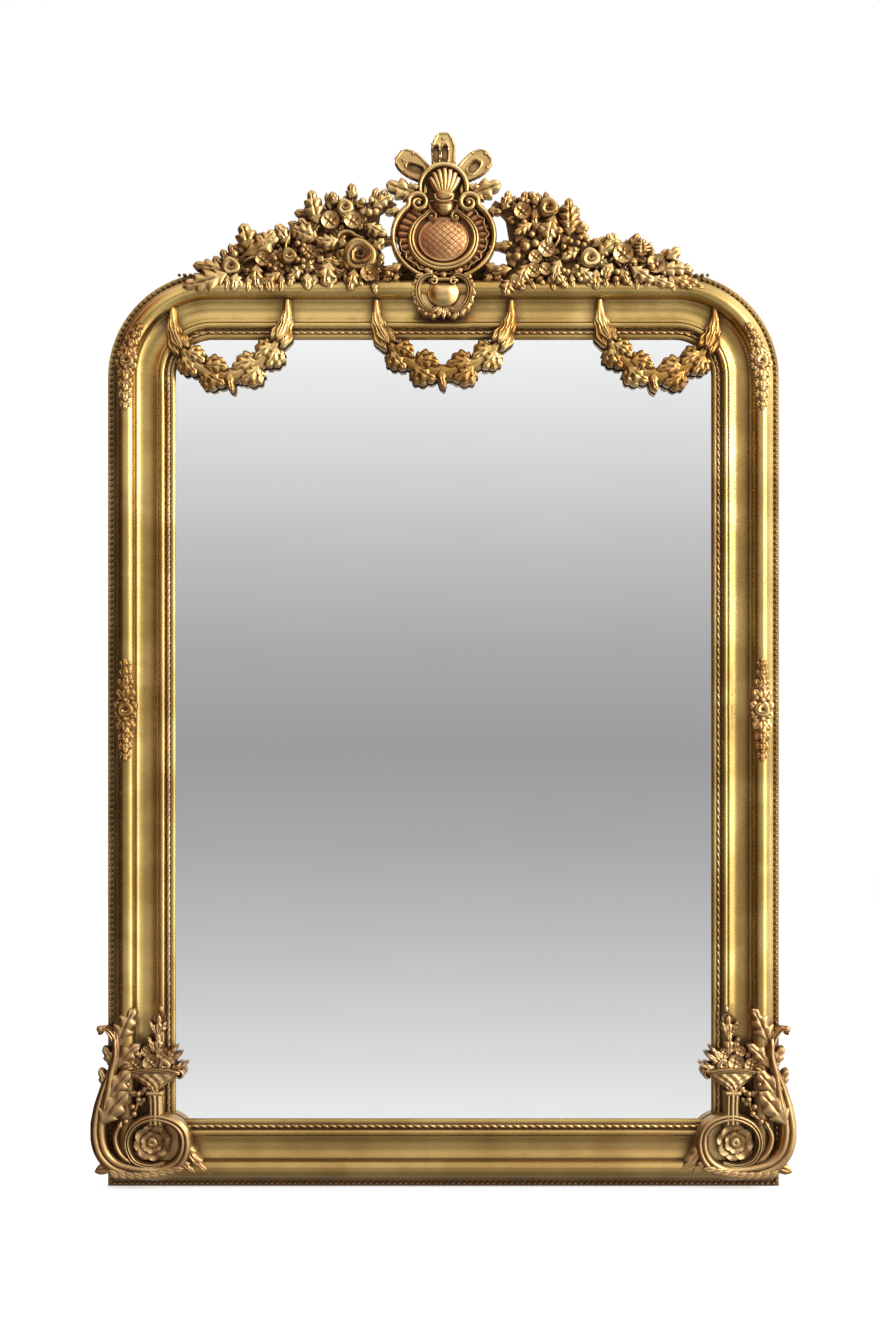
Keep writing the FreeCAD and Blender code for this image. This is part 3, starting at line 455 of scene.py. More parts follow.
def colour(code: str) -> tuple[float, float, float, float]:
    """The linear colour of an sRGB hex code such as "#c8ad78"."""
    parts = [int(code[i:i + 2], 16) / 255 for i in (1, 3, 5)]
    return (*[p / 12.92 if p <= 0.04045 else ((p + 0.055) / 1.055) ** 2.4 for p in parts], 1.0)


def add(tree: bpy.types.NodeTree, kind: str, links: dict | None = None, **settings) -> bpy.types.Node:
    """Adds a node to a tree.

    Args:
        tree: the tree that gets it.
        kind: the node's type.
        links: for each input, by name or number, the socket or node to link or the value to set.
        settings: the node's own properties.

    Returns:
        The node.
    """
    node = tree.nodes.new(kind)
    for name, value in settings.items():
        setattr(node, name, value)
    for socket, source in (links or {}).items():
        if isinstance(source, bpy.types.Node):
            source = next(output for output in source.outputs if not output.is_unavailable)
        if isinstance(source, bpy.types.NodeSocket):
            tree.links.new(source, node.inputs[socket])
        else:
            node.inputs[socket].default_value = source
    return node


def new_tree(name: str) -> tuple[bpy.types.Material, bpy.types.NodeTree, bpy.types.NodeSocket]:
    """Starts a material.

    Args:
        name: what it is.

    Returns:
        The material, its empty node tree and its Object coordinates.
    """
    material = bpy.data.materials.new(name)
    material.use_nodes = True
    tree = material.node_tree
    tree.nodes.clear()
    return material, tree, add(tree, "ShaderNodeTexCoord").outputs["Object"]


@dataclass(frozen=True)
class Gilding:
    """Gold leaf over red bole and gesso, rubbed on its heights, with brown wax and painted shade in its
    hollows.

    The leaf is a true metal, so it shows the room: bright where it faces the window, brown where it faces the
    dark of the room. The bole glows red where the leaf is worn through, and wax and painted shade dull the
    hollows.
    Toward the foot it is browned with painted shade.

    Colours: the leaf where it is thick and where it is thin, the bole, the wax with the painted shade of the
    hollows, and the painted shade of the foot. Sizes, in millimetres: hollow_mm is how far away a wall still
    shuts in a hollow, cloud_mm the patches of thin leaf, blot_mm the rubbed spots and grain_mm the brush
    marks of the gesso, drawn coarse enough to show. The wax and painted shade lie where a point sees less
    than open_from of its surroundings and have gone at open_to. The painted shade of the foot starts at the
    first height of foot_m and is full at the second.
    """

    name: str
    leaf: str = "#d9bb75"
    deep_leaf: str = "#b39156"
    bole: str = "#6b3f1f"
    wax: str = "#42230d"
    varnish: str = "#83683f"
    roughness: float = 0.30
    wear: float = 0.25
    waxing: float = 1.0
    bump: float = 0.30
    hollow_mm: float = 7.0
    cloud_mm: float = 90.0
    blot_mm: float = 11.0
    grain_mm: float = 2.2
    open_from: float = 0.25
    open_to: float = 0.85
    foot_m: tuple[float, float] = (0.40, 0.06)
    foot_share: float = 0.52

    def build(self) -> bpy.types.Material:
        """Makes the material.

        Returns:
            The material.
        """
        material, tree, place = new_tree(self.name)
        cloud, blot, grain = [
            add(tree, "ShaderNodeTexNoise", {"Vector": place, "Scale": 1000 / size, "Detail": detail})
            for size, detail in ((self.cloud_mm, 4.0), (self.blot_mm, 5.0), (self.grain_mm, 2.0))]
        hollow = add(tree, "ShaderNodeAttribute", attribute_name="hollow").outputs["Fac"]
        sky = add(tree, "ShaderNodeAmbientOcclusion", {"Distance": self.hollow_mm * MM}, samples=5)
        rise = add(tree, "ShaderNodeSeparateXYZ", {0: place}).outputs["Z"]

        # What each mask reads, the two values that it runs between, and what it gives at each of them. The
        # first two are painted shade where the surface is shut in or hollow, and the fifth is painted shade
        # toward the foot.
        occlusion_shade, concave_shade, blotted, rubbed, foot, patch = [
            add(tree, "ShaderNodeMapRange", dict(enumerate(row)), **SMOOTH) for row in (
                (sky.outputs["AO"], self.open_from, self.open_to, 1.0, 0.0),
                (hollow, 0.05, 0.6, 0.0, 0.6),
                (blot, 0.56, 0.68, 0.0, self.wear),
                (hollow, -0.25, -0.9, 0.0, self.wear),
                (rise, *self.foot_m, 0.0, self.foot_share),
                (cloud, 0.36, 0.64, 0.0, 1.0))]
        # Wax and painted shade lie together in the hollows, in one colour.
        wax_and_shade_mask = add(tree, "ShaderNodeMath", {0: occlusion_shade, 1: concave_shade}, operation="ADD", use_clamp=True)
        wax_and_shade_mask = add(tree, "ShaderNodeMath", {0: wax_and_shade_mask, 1: self.waxing}, operation="MULTIPLY", use_clamp=True)
        worn = add(tree, "ShaderNodeMath", {0: blotted, 1: rubbed}, operation="ADD", use_clamp=True)

        # The layers of colour, from the leaf up: the painted shade of the foot comes second, and last the wax
        # with the painted shade of the hollows.
        base = colour(self.leaf)
        for share, layer in ((patch, self.deep_leaf), (foot, self.varnish), (worn, self.bole),
                             (wax_and_shade_mask, self.wax)):
            base = add(tree, "ShaderNodeMix", {0: share, MIX_A: base, MIX_B: colour(layer)},
                       data_type="RGBA")
        # Wax and painted shade, the painted shade of the foot and grain dull the leaf; wax, painted shade and
        # wear take away its metal.
        dull = self.roughness - 0.06
        for share, amount in ((wax_and_shade_mask, 0.30), (foot, 0.12), (grain, 0.12)):
            dull = add(tree, "ShaderNodeMath", {0: share, 1: amount, 2: dull}, operation="MULTIPLY_ADD",
                       use_clamp=share is grain)
        metal = add(tree, "ShaderNodeMath", {0: wax_and_shade_mask, 1: -0.55, 2: 1.0}, operation="MULTIPLY_ADD")
        metal = add(tree, "ShaderNodeMath", {0: worn, 1: -0.5, 2: metal}, operation="MULTIPLY_ADD",
                    use_clamp=True)
        bump = add(tree, "ShaderNodeBump", {"Strength": self.bump, "Distance": 0.4 * MM, "Height": grain})
        bump = add(tree, "ShaderNodeBump", {"Strength": self.bump, "Distance": 1.2 * MM, "Height": blot,
                                            "Normal": bump})
        shader = add(tree, "ShaderNodeBsdfPrincipled", {"Base Color": base, "Roughness": dull,
                                                        "Metallic": metal, "Normal": bump})
        add(tree, "ShaderNodeOutputMaterial", {"Surface": shader})
        return material


@dataclass(frozen=True)
class Wood:
    """Plain wood of the back: sawn and unpolished, so it is matt with darker grain along one way.

    grain_mm is the spacing of its year rings, cloud_mm that of its stains; along is the axis of the grain.
    """

    name: str
    light: str
    dark: str
    grain_mm: float = 3.0
    cloud_mm: float = 140.0
    along: int = 2
    roughness: float = 0.72

    def build(self) -> bpy.types.Material:
        """Makes the material.

        Returns:
            The material.
        """
        material, tree, place = new_tree(self.name)
        stretch = [1.0, 1.0, 1.0]
        stretch[self.along] = 0.05
        along = add(tree, "ShaderNodeMapping", {"Vector": place, "Scale": stretch})
        grain = add(tree, "ShaderNodeTexNoise", {"Vector": along, "Scale": 1000 / self.grain_mm,
                                                 "Detail": 4.0})
        cloud = add(tree, "ShaderNodeTexNoise", {"Vector": place, "Scale": 1000 / self.cloud_mm,
                                                 "Detail": 2.0})
        share = add(tree, "ShaderNodeMapRange", {0: grain, 1: 0.35, 2: 0.65, 3: 0.0, 4: 0.7}, **SMOOTH)
        share = add(tree, "ShaderNodeMath", {0: cloud, 1: 0.3, 2: share}, operation="MULTIPLY_ADD",
                    use_clamp=True)
        base = add(tree, "ShaderNodeMix", {0: share, MIX_A: colour(self.light),
                                           MIX_B: colour(self.dark)}, data_type="RGBA")
        rough = add(tree, "ShaderNodeMath", {0: grain, 1: 0.2, 2: self.roughness - 0.1},
                    operation="MULTIPLY_ADD")
        bump = add(tree, "ShaderNodeBump", {"Strength": 0.4, "Distance": 0.3 * MM, "Height": grain})
        shader = add(tree, "ShaderNodeBsdfPrincipled", {"Base Color": base, "Roughness": rough,
                                                        "Normal": bump})
        add(tree, "ShaderNodeOutputMaterial", {"Surface": shader})
        return material


@dataclass(frozen=True)
class Metal:
    """Plated steel of the fittings: drawn and tumbled, so it is satin with fine scuffs, scuff_mm apart."""

    name: str
    bright: str = "#b9b8b2"
    dull: str = "#8d8a80"
    scuff_mm: float = 4.0
    roughness: float = 0.34

    def build(self) -> bpy.types.Material:
        """Makes the material.

        Returns:
            The material.
        """
        material, tree, place = new_tree(self.name)
        scuff = add(tree, "ShaderNodeTexNoise", {"Vector": place, "Scale": 1000 / self.scuff_mm,
                                                 "Detail": 4.0})
        share = add(tree, "ShaderNodeMapRange", {0: scuff, 1: 0.4, 2: 0.65}, **SMOOTH)
        base = add(tree, "ShaderNodeMix", {0: share, MIX_A: colour(self.bright),
                                           MIX_B: colour(self.dull)}, data_type="RGBA")
        rough = add(tree, "ShaderNodeMath", {0: scuff, 1: 0.2, 2: self.roughness - 0.08},
                    operation="MULTIPLY_ADD")
        shader = add(tree, "ShaderNodeBsdfPrincipled", {"Base Color": base, "Roughness": rough,
                                                        "Metallic": 1.0})
        add(tree, "ShaderNodeOutputMaterial", {"Surface": shader})
        return material


@dataclass(frozen=True)
class Soft:
    """Felt or rubber: matt and finely mottled, with fibres or pores fibre_mm apart."""

    name: str
    light: str
    dark: str
    fibre_mm: float = 1.5
    roughness: float = 0.93

    def build(self) -> bpy.types.Material:
        """Makes the material.

        Returns:
            The material.
        """
        material, tree, place = new_tree(self.name)
        fibre = add(tree, "ShaderNodeTexNoise", {"Vector": place, "Scale": 1000 / self.fibre_mm,
                                                 "Detail": 4.0})
        base = add(tree, "ShaderNodeMix", {0: fibre, MIX_A: colour(self.light),
                                           MIX_B: colour(self.dark)}, data_type="RGBA")
        bump = add(tree, "ShaderNodeBump", {"Strength": 0.6, "Distance": 0.3 * MM, "Height": fibre})
        shader = add(tree, "ShaderNodeBsdfPrincipled", {"Base Color": base, "Roughness": self.roughness,
                                                        "Normal": bump})
        add(tree, "ShaderNodeOutputMaterial", {"Surface": shader})
        return material


@dataclass(frozen=True)
class Silvering:
    """Silvered plate glass: polished flat, so it gives a clear, very slightly grey image of the room.

    A faint haze, in patches veil_mm wide, keeps it from looking like bare metal.
    """

    name: str
    tint: str = "#f4f5f4"
    haze: str = "#eff1f0"
    veil_mm: float = 260.0
    roughness: float = 0.03

    def build(self) -> bpy.types.Material:
        """Makes the material.

        Returns:
            The material.
        """
        material, tree, place = new_tree(self.name)
        veil = add(tree, "ShaderNodeTexNoise", {"Vector": place, "Scale": 1000 / self.veil_mm,
                                                "Detail": 2.0})
        base = add(tree, "ShaderNodeMix", {0: veil, MIX_A: colour(self.tint), MIX_B: colour(self.haze)},
                   data_type="RGBA")
        shader = add(tree, "ShaderNodeBsdfPrincipled", {"Base Color": base, "Roughness": self.roughness,
                                                        "Metallic": 1.0})
        add(tree, "ShaderNodeOutputMaterial", {"Surface": shader})
        return material


class Finish(Enum):
    """The finishes of the mirror, by the part that each one is for."""

    # Smooth burnished leaf: long clear lights along the torus, brown wax and painted shade in the quirks and
    # the cove.
    MOULDING = Gilding("water_gilding_on_moulding", leaf="#ccae6c", deep_leaf="#ab8d51", wear=0.10,
                       roughness=0.27, waxing=0.90, hollow_mm=20, bump=0.12, open_from=0.46,
                       open_to=0.90)
    # Beads handled for years: bright brown tops between gaps darkened with wax and painted shade.
    BEADING = Gilding("rubbed_gilding_on_beading", leaf="#ab8b57", deep_leaf="#77582f", wear=0.4,
                      roughness=0.36, hollow_mm=6)
    # A thin run of carving beside the glass, redder than the moulding where the bole shows.
    SIGHT_EDGE = Gilding("gilding_on_sight_edge", leaf="#cfae78", deep_leaf="#a17d4e", bole="#7d5236",
                         wear=0.4, wax="#4a2d1a", hollow_mm=5)
    # Cast and gilt carving: gold heights over brown wax and painted shade in the depths between the flowers.
    CREST = Gilding("gilding_on_crest_carving", leaf="#d8ba7e", deep_leaf="#ac8752", wear=0.25,
                    wax="#4a2913", hollow_mm=12, open_from=0.38, open_to=0.94)
    # Leaf rubbed down to the bole: a dull red ground that sets off the gold scrolls.
    BOLE = Gilding("worn_gilding_on_bole_ground", leaf="#c39766", deep_leaf="#a06f4a", bole="#8c5537",
                   wax="#5f3720", wear=0.6, roughness=0.42, hollow_mm=6)
    # The yellowest leaf, with near-black wax and painted shade between the cups.
    SWAGS = Gilding("gilding_on_leaf_garlands", leaf="#dcbc7b", deep_leaf="#a2783e", wear=0.25,
                    wax="#3a1d0a", hollow_mm=14, open_from=0.38, open_to=0.95)
    # Worn and matter than the swags, so the drops stay quiet on the bright torus.
    DROPS = Gilding("gilding_on_flower_drops", leaf="#c6a36b", deep_leaf="#96713f", wear=0.35,
                    wax="#3c1f0b", roughness=0.36, hollow_mm=9, open_to=0.92)
    # Pale leaf, browned toward the foot with painted shade.
    CORNERS = Gilding("gilding_on_corner_scrolls", leaf="#cfb07e", deep_leaf="#a5825a", wear=0.25,
                      wax="#4b2f19", varnish="#9a7c50", roughness=0.36, hollow_mm=9, foot_share=0.5)
    # What shows between the carved leaves: thin leaf painted dark and dull as shade.
    GROUND = Gilding("painted_shade_ground_behind_carving", leaf="#7d5d37", deep_leaf="#5d4126", wax="#3f2613",
                     wear=0.4, roughness=0.5, hollow_mm=8)
    # Yellow softwood, straight-grained along the stiles.
    RAW_WOOD = Wood("sawn_pine_back", "#b5935f", "#8c6a3f")
    # The same softwood stained brown, so it drops out of sight behind the crest.
    BOARD = Wood("stained_pine_crest_board", "#5b432b", "#3c2917", along=0)
    # Pale rotary-cut veneer with a broad, soft figure.
    PLYWOOD = Wood("birch_plywood_back_panel", "#b98f5f", "#94693f", grain_mm=5)
    # Close-grained hardwood, a shade redder than the pine.
    SPLINE = Wood("beech_splines", "#b98f62", "#9c744b", grain_mm=2)
    # Cool grey satin that catches a soft light.
    STEEL = Metal("zinc_plated_steel_fittings")
    # The same plating gone yellowish on the screw heads.
    SCREW = Metal("plated_steel_screws", bright="#a9a596", dull="#7c766a")
    # Dark and matt, with a visible fibre.
    FELT = Soft("grey_wool_felt", "#454547", "#2d2d2f")
    # Nearly black and even.
    RUBBER = Soft("hard_black_rubber", "#1d1d1d", "#121212", 0.8)
    # A clear pale image of the room.
    GLASS = Silvering("silvered_plate_glass")


class Finishes:
    """Builds each finish the first time that it is asked for."""

    def __init__(self) -> None:
        """Starts with no material made."""
        self.made: dict[Finish, bpy.types.Material] = {}

    def __call__(self, finish: Finish) -> bpy.types.Material:
        """Gives a finish.

        Args:
            finish: which one.

        Returns:
            Its material.
        """
        if finish not in self.made:
            self.made[finish] = finish.value.build()
        return self.made[finish]


PAINT = Finishes()


# ---- frame -----------------------------------------------
@dataclass
class MouldedFrame:
    """The arched moulding with its beading and its carved sight edge.

    setback is how far the back step lies in from the outer edge and off the wall, rebate how far in the
    glass's rebate starts, and lip_rear the height of the lip's rear face. Each inset is measured in from the
    outer edge, and each bed is a height off the wall.
    """

    half_width: float = 575.0
    height: float = 1566.0
    corner_radius: float = 180.0
    setback: Point = (34.0, 14.0)
    rebate: float = 106.0
    lip_rear: float = 28.0
    bead_inset: float = 5.4
    bead_bed: float = 22.0
    bead_height: float = 24.0
    bead_pitch: float = 10.0
    bead_radius: float = 3.1
    ribbon_inset: float = 105.2
    ribbon_bed: float = 32.4
    ribbon_pitch: float = 13.0

    def section(self) -> list[Point]:
        """Draws the moulding's section: bead bed, fillet, torus, quirk, cove, fillet, roll and lip.

        Returns:
            Its points: distance in from the outer edge, and out from the wall.
        """
        points = [(0.0, 0.0), (0.0, 21.0), (0.8, 22.0), (11.0, 22.0), (11.0, 27.2), (11.8, 28.2),
                  (20.2, 31.6), (21.0, 32.4), (21.0, 40.0)]
        points += oval((35, 45.1), (14.9, 14.9), 200, -20, 17)[1:]
        points += [(49, 38.6), (49.5, 38), (52.4, 38), (53, 37.4)]
        points += oval((70.1, 63.6), (31.6, 31.6), 237.5, 302, 15)[1:-1]
        points += [(87, 36.2), (88.3, 36.2), (89, 35.4), (89, 38.6)]
        points += oval((94.5, 38.5), (5.5, 5.5), 176, 4, 9)
        points += [(100, 33.6), (100.6, 33), (109.2, 33), (109.8, 34.4), (111, 34.8), (115.6, 33),
                   (117, 30.8), (117, self.lip_rear), (self.rebate, self.lip_rear),
                   (self.rebate, self.setback[1]), self.setback, (self.setback[0], 0.0)]
        return points

    def corner_stations(self, steps: int = 20) -> list[Station]:
        """Walks round the upper left corner.

        Args:
            steps: how many steps it takes.

        Returns:
            Points on the outer edge, with the way in from each.
        """
        centre = Vector((self.corner_radius - self.half_width, self.height - self.corner_radius, 0))
        stations = []
        for k in range(steps + 1):
            turn = math.pi - 0.5 * math.pi * k / steps
            out = Vector((math.cos(turn), math.sin(turn), 0))
            stations.append((centre + out * self.corner_radius, -out))
        return stations

    def stile_stations(self) -> list[Station]:
        """The left stile's outer edge: mitred at the foot, square at the top."""
        return [(Vector((-self.half_width, 0, 0)), Vector((1, 1, 0))),
                (Vector((-self.half_width, self.height - self.corner_radius, 0)), Vector((1, 0, 0)))]

    def foot_stations(self) -> list[Station]:
        """The bottom rail's outer edge, mitred at both ends."""
        return [(Vector((self.half_width, 0, 0)), Vector((-1, 1, 0))),
                (Vector((-self.half_width, 0, 0)), Vector((1, 1, 0)))]

    def head_stations(self) -> list[Station]:
        """The top rail's outer edge, square at both ends."""
        reach = self.half_width - self.corner_radius
        return [(Vector((x, self.height, 0)), Vector((0, -1, 0))) for x in (-reach, reach)]

    def top_line(self) -> list[Station]:
        """The outer edge from the top of the left stile round to the top of the right one."""
        left = self.corner_stations()
        return left + [(Vector((-p.x, p.y, 0)), Vector((-n.x, n.y, 0))) for p, n in reversed(left)]

    def member(self, stations: Sequence[Station]) -> Carving:
        """Runs the moulding's section past the stations by extrusion, and closes both ends.

        Args:
            stations: points on the outer edge, with the way in from each.

        Returns:
            The member, gilt in front (0) and bare wood behind (1).
        """
        piece = Carving()
        bm = piece.mesh
        section = self.section()
        start, inward = stations[0]
        ring = [bm.verts.new(start + inward * u + Vector((0, 0, v))) for u, v in section]
        edges = [bm.edges.new(pair) for pair in zip(ring, ring[1:] + ring[:1])]
        bmesh.ops.edgeloop_fill(bm, edges=edges)
        for start, inward in stations[1:]:
            made = bmesh.ops.extrude_edge_only(bm, edges=edges)["geom"]
            fresh = {vert for vert in made if isinstance(vert, bmesh.types.BMVert)}
            moved = []
            for vert, (u, v) in zip(ring, section):
                new = next(e.other_vert(vert) for e in vert.link_edges if e.other_vert(vert) in fresh)
                new.co = start + inward * u + Vector((0, 0, v))
                moved.append(new)
            ring = moved
            edges = [edge for edge in made if isinstance(edge, bmesh.types.BMEdge)
                     and all(vert in fresh for vert in edge.verts)]
        bmesh.ops.edgeloop_fill(bm, edges=edges)
        bmesh.ops.recalc_face_normals(bm, faces=bm.faces)
        for face in bm.faces:
            face.material_index = int(self.is_bare(face))
        return piece

    def is_bare(self, face: bmesh.types.BMFace) -> bool:
        """Tells bare wood from gilding.

        Args:
            face: a face of a member.

        Returns:
            Whether it looks at the wall or at the rebate, where the gilder doesn't reach.
        """
        middle = face.calc_center_median()
        looks_back = face.normal.z < -0.5
        if middle.z < self.setback[1] + 0.1 and looks_back:
            return True
        inset = min(self.half_width - abs(middle.x), self.height - middle.y, middle.y)
        inside = inset > self.setback[0] - 1 and abs(face.normal.z) < 0.7
        return middle.z < self.lip_rear and (inside or looks_back)

    def walk(self, stations: Sequence[Station], inset: float) -> Spine:
        """A line at an inset along a member."""
        return Spine([tuple(point + inward * inset) for point, inward in stations], samples=4)

    def beads(self, stations: Sequence[Station]) -> Carving:
        """A row of turned beads on its bed; each bead is a low ball of a few dozen faces.

        Args:
            stations: points on the outer edge, with the way in from each.

        Returns:
            The row.
        """
        piece = Carving(ground=self.bead_bed)
        line = self.walk(stations, self.bead_inset)
        count = round(line.length / self.bead_pitch)
        for k in range(count):
            point, _ = line.at((k + 0.5) / count)
            place = Matrix.Translation((point.x, point.y, self.bead_height))
            bmesh.ops.create_uvsphere(piece.mesh, u_segments=8, v_segments=5, radius=self.bead_radius,
                                      matrix=place @ Matrix.Rotation(math.pi / 8, 4, "Z"))
        return piece

    def ribbon(self, stations: Sequence[Station]) -> Carving:
        """The carved sight edge: leaves that follow each other aslant along a thin roll.

        Args:
            stations: points on the outer edge, with the way in from each.

        Returns:
            The run of carving.
        """
        piece = Carving(ground=self.ribbon_bed)
        line = self.walk(stations, self.ribbon_inset)
        count = max(1, round(line.length / self.ribbon_pitch))

        def shape(s: float, t: float) -> Vector:
            """The place of a point of the roll, which is high and broad where a leaf lies."""
            point, ahead = line.at(s)
            lobe = ridge(s * count + 0.30 * t, 0.9)
            height = self.ribbon_bed + 0.8 + 3.7 * dome(t) * (0.35 + 0.65 * lobe)
            return (Vector((point.x, point.y, 0)) + leftward(ahead) * (t * (2.5 + 1.3 * lobe))
                    + Vector((0, 0, height)))
        piece.relief(count * 8, 6, shape)
        return piece

    def build(self) -> None:
        """Makes the members, the rows of beads and the sight edge."""
        gilt = [PAINT(Finish.MOULDING), PAINT(Finish.RAW_WOOD)]
        for side, mirror in SIDES:
            self.member(self.stile_stations()).finish(f"gilt_{side}_stile", gilt, "gilded_moulding",
                                                      [f"{side}_stile"], mirror)
        corners = self.member(self.corner_stations())
        bm = corners.mesh
        copy = bmesh.ops.duplicate(bm, geom=bm.verts[:] + bm.edges[:] + bm.faces[:])["geom"]
        bmesh.ops.transform(bm, matrix=TURN_OVER,
                            verts=[vert for vert in copy if isinstance(vert, bmesh.types.BMVert)])
        corners.finish("gilt_upper_corners", gilt, "gilded_moulding", ["upper_corner_blocks"])
        for rail, stations in (("top", self.head_stations()), ("bottom", self.foot_stations())):
            self.member(stations).finish(f"gilt_{rail}_rail", gilt, "gilded_moulding", [f"{rail}_rail"])
        for side, stations, mirror in (("left", self.stile_stations(), False),
                                       ("right", self.stile_stations(), True),
                                       ("top", self.top_line(), False),
                                       ("bottom", self.foot_stations(), False)):
            self.beads(stations).finish(f"bead_row_{side}", [PAINT(Finish.BEADING)], "gilded_beading",
                                        [f"bead_strip_{side}"], mirror)
            self.ribbon(stations).finish(f"sight_edge_{side}", [PAINT(Finish.SIGHT_EDGE)],
                                         "gilded_sight_edge", [f"sight_slip_{side}"], mirror)


# ---- crest -----------------------------------------------
@dataclass
class Cartouche:
    """The pierced rocaille cartouche in the middle of the crest, with its shell, arch and three lobes.

    The leaves of each part are rows: x, y, heading, length, width, height, bend, lobes, rise, curl and, where
    it isn't the usual one, the depth of the cuts. The other numbers are sizes and places on the drawing.
    """

    centre: Point = (0.0, 1620.0)
    radii: Point = (86.0, 73.0)
    inner_centre: Point = (0.0, 1616.0)
    inner_radii: Point = (55.0, 48.0)
    boss_radii: Point = (44.0, 38.5)
    arch_centre: Point = (0.0, 1703.0)
    arch_radius: float = 40.0
    niche_radius: float = 38.5
    outer_volute: Point = (-42.5, 1677.0)
    inner_volute: Point = (-20.5, 1654.0)
    gadroons: int = 34
    lozenge: float = 12.5
    outer_leaves: Sequence[tuple[float, ...]] = (
        (-46, 1690, 152, 56, 38, 46, 14, 3, 6, 4), (-74, 1664, 172, 26, 15, 48, 30, 2, 5, 2),
        (-70, 1574, 214, 34, 17, 50, -34, 2, 6, 2), (-34, 1551, 246, 24, 14, 54, -50, 2, 5, 2),
        (-40, 1706, 196, 22, 12, 49, -30, 2, 5, 1))

    def plate(self) -> Carving:
        """Gadrooned ground with a broken, scalloped rim."""
        piece = Carving(ground=31.0)
        count = self.gadroons

        def height(angle: float, share: float) -> float:
            """Flutes in the outer part, flat within."""
            beat = ridge(count * angle / (2 * math.pi), 0.8)
            rim = smooth(0.60, 0.72, share) * (1 - smooth(0.93, 1.0, share))
            return 42 + rim * (1.5 + 4.5 * beat) - 2.5 * smooth(0.95, 1, share)

        def edge(angle: float) -> float:
            """A scallop to each flute, on a slow wave."""
            scallop = 0.028 * ridge(count * angle / (2 * math.pi), 0.6)
            return 0.925 + scallop + 0.02 * math.sin(3 * angle + 0.8) + 0.012 * math.sin(7 * angle)
        piece.disc(self.centre, self.radii, height, count * 6, 14, edge)
        return piece

    def rocaille_edge(self) -> Carving:
        """The thin broken wave that frames the gadroons inside the outer scrolls."""
        piece = Carving(ground=40.0)
        steps, first, sweep = 120, 108, 284.8
        wave = []
        for k in range(steps + 1):
            turn = math.radians(first - sweep * k / steps)
            reach = 0.865 + 0.022 * math.sin(17 * turn) + 0.014 * math.sin(29 * turn)
            wave.append(around(self.centre, (reach * self.radii[0], reach * self.radii[1]), turn))
        piece.scroll(Spine(wave, 2), tapered(3, 4, 4, 4, 3), 48.5, 3.2, 1, 200, 5)
        return piece

    def outer_scroll(self) -> Carving:
        """Left C-scroll: a tight volute beside the shell, then a double-edged sweep to the foot."""
        piece = Carving(ground=31.0)
        curl = spiral(self.outer_volute, 17.0, 5.0, 160, -1.35, 22)
        sweep = oval(self.centre, self.radii, 134, 258, 16)
        widths = tapered(7, 9, 10, 10, 10, 9, 9, 8, 7)
        piece.scroll(Spine(curl[::-1] + sweep, 4), widths, 50.5, 7.5, 1, 120, 10)
        piece.berry(*self.outer_volute, 53, 4.6)
        for leaf in self.outer_leaves:
            piece.leaf(*leaf)
        return piece

    def ring(self) -> Carving:
        """Inner C-scroll round the boss, open at the top where its ends curl in."""
        piece = Carving(ground=42.0)
        sweep = oval(self.inner_centre, self.inner_radii, 124, 416, 34)
        curl = spiral(self.inner_volute, 9.0, 2.6, 142, -1.2, 14)
        widths = tapered(4, 8, 13, 15, 15, 15, 13, 8, 4)
        piece.scroll(Spine(curl[::-1] + sweep + flipped(curl), 3), widths, 51, 6.5, 2, 130, 12)
        for x, y in (self.inner_volute, *flipped([self.inner_volute])):
            piece.berry(x, y, 53, 3.0)
        return piece

    def boss(self) -> Carving:
        """Domed oval cut with a lozenge diaper."""
        piece = Carving(ground=31.0)

        def height(angle: float, share: float) -> float:
            """The dome, less the crossing grooves, with a raised rim."""
            x = self.boss_radii[0] * share * math.cos(angle)
            y = self.boss_radii[1] * share * math.sin(angle)
            first, second = (abs(math.sin(math.pi * (x + lean * y) / self.lozenge))
                             for lean in (1.15, -1.15))
            groove = 1.3 * (smooth(0.0, 0.30, min(first, second)) - 1) * (1 - smooth(0.82, 0.9, share))
            rim = 1.6 * smooth(0.90, 0.95, share) * (1 - smooth(0.97, 1, share))
            return 46.5 + 10.5 * (1 - share * share) + groove + rim
        piece.disc(self.inner_centre, self.boss_radii, height, 110, 40)
        return piece

    def shell(self) -> Carving:
        """Fan of flutes on a pinched neck, with a swelling drop and a curled lip below."""
        piece = Carving(ground=42.0)
        for k in range(-3, 4):
            foot, turn = 2 + 2.4 * k, math.radians(90 - 9.5 * k)
            reach = 46 - 1.2 * k * k
            path = [(foot + 0.2 * k + share * reach * math.cos(turn),
                     1689 + share * reach * math.sin(turn), -2.0 * share * share)
                    for share in (0, 0.35, 0.7, 1.0)]
            piece.scroll(Spine(path), tapered(5, 7.5, 10, 10, 7), 56.5 - 0.5 * abs(k), 5.4, 1, 14, 8)

        def neck(angle: float, share: float) -> float:
            """A swelling knot, faintly three-sided."""
            return 57 + 8 * dome(share) + 0.8 * math.cos(3 * angle) * share
        piece.disc((2, 1688), (17, 10.5), neck, 32, 8)

        def drop(angle: float, share: float) -> float:
            """A ball with a fold across it."""
            return 54 + 10 * dome(share) - 1.8 * bell(share * math.sin(angle) - 0.25, 0.14)
        piece.disc((1, 1671), (15.5, 14.5), drop, 36, 12)
        lip = [(-15, 1690, 0), (-12, 1680, 2), (0, 1676, 3), (13, 1680, 2), (17, 1690, 0)]
        piece.scroll(Spine(lip), tapered(4, 5, 5.6, 5, 4), 60, 3.2, 1, 22, 6)
        return piece

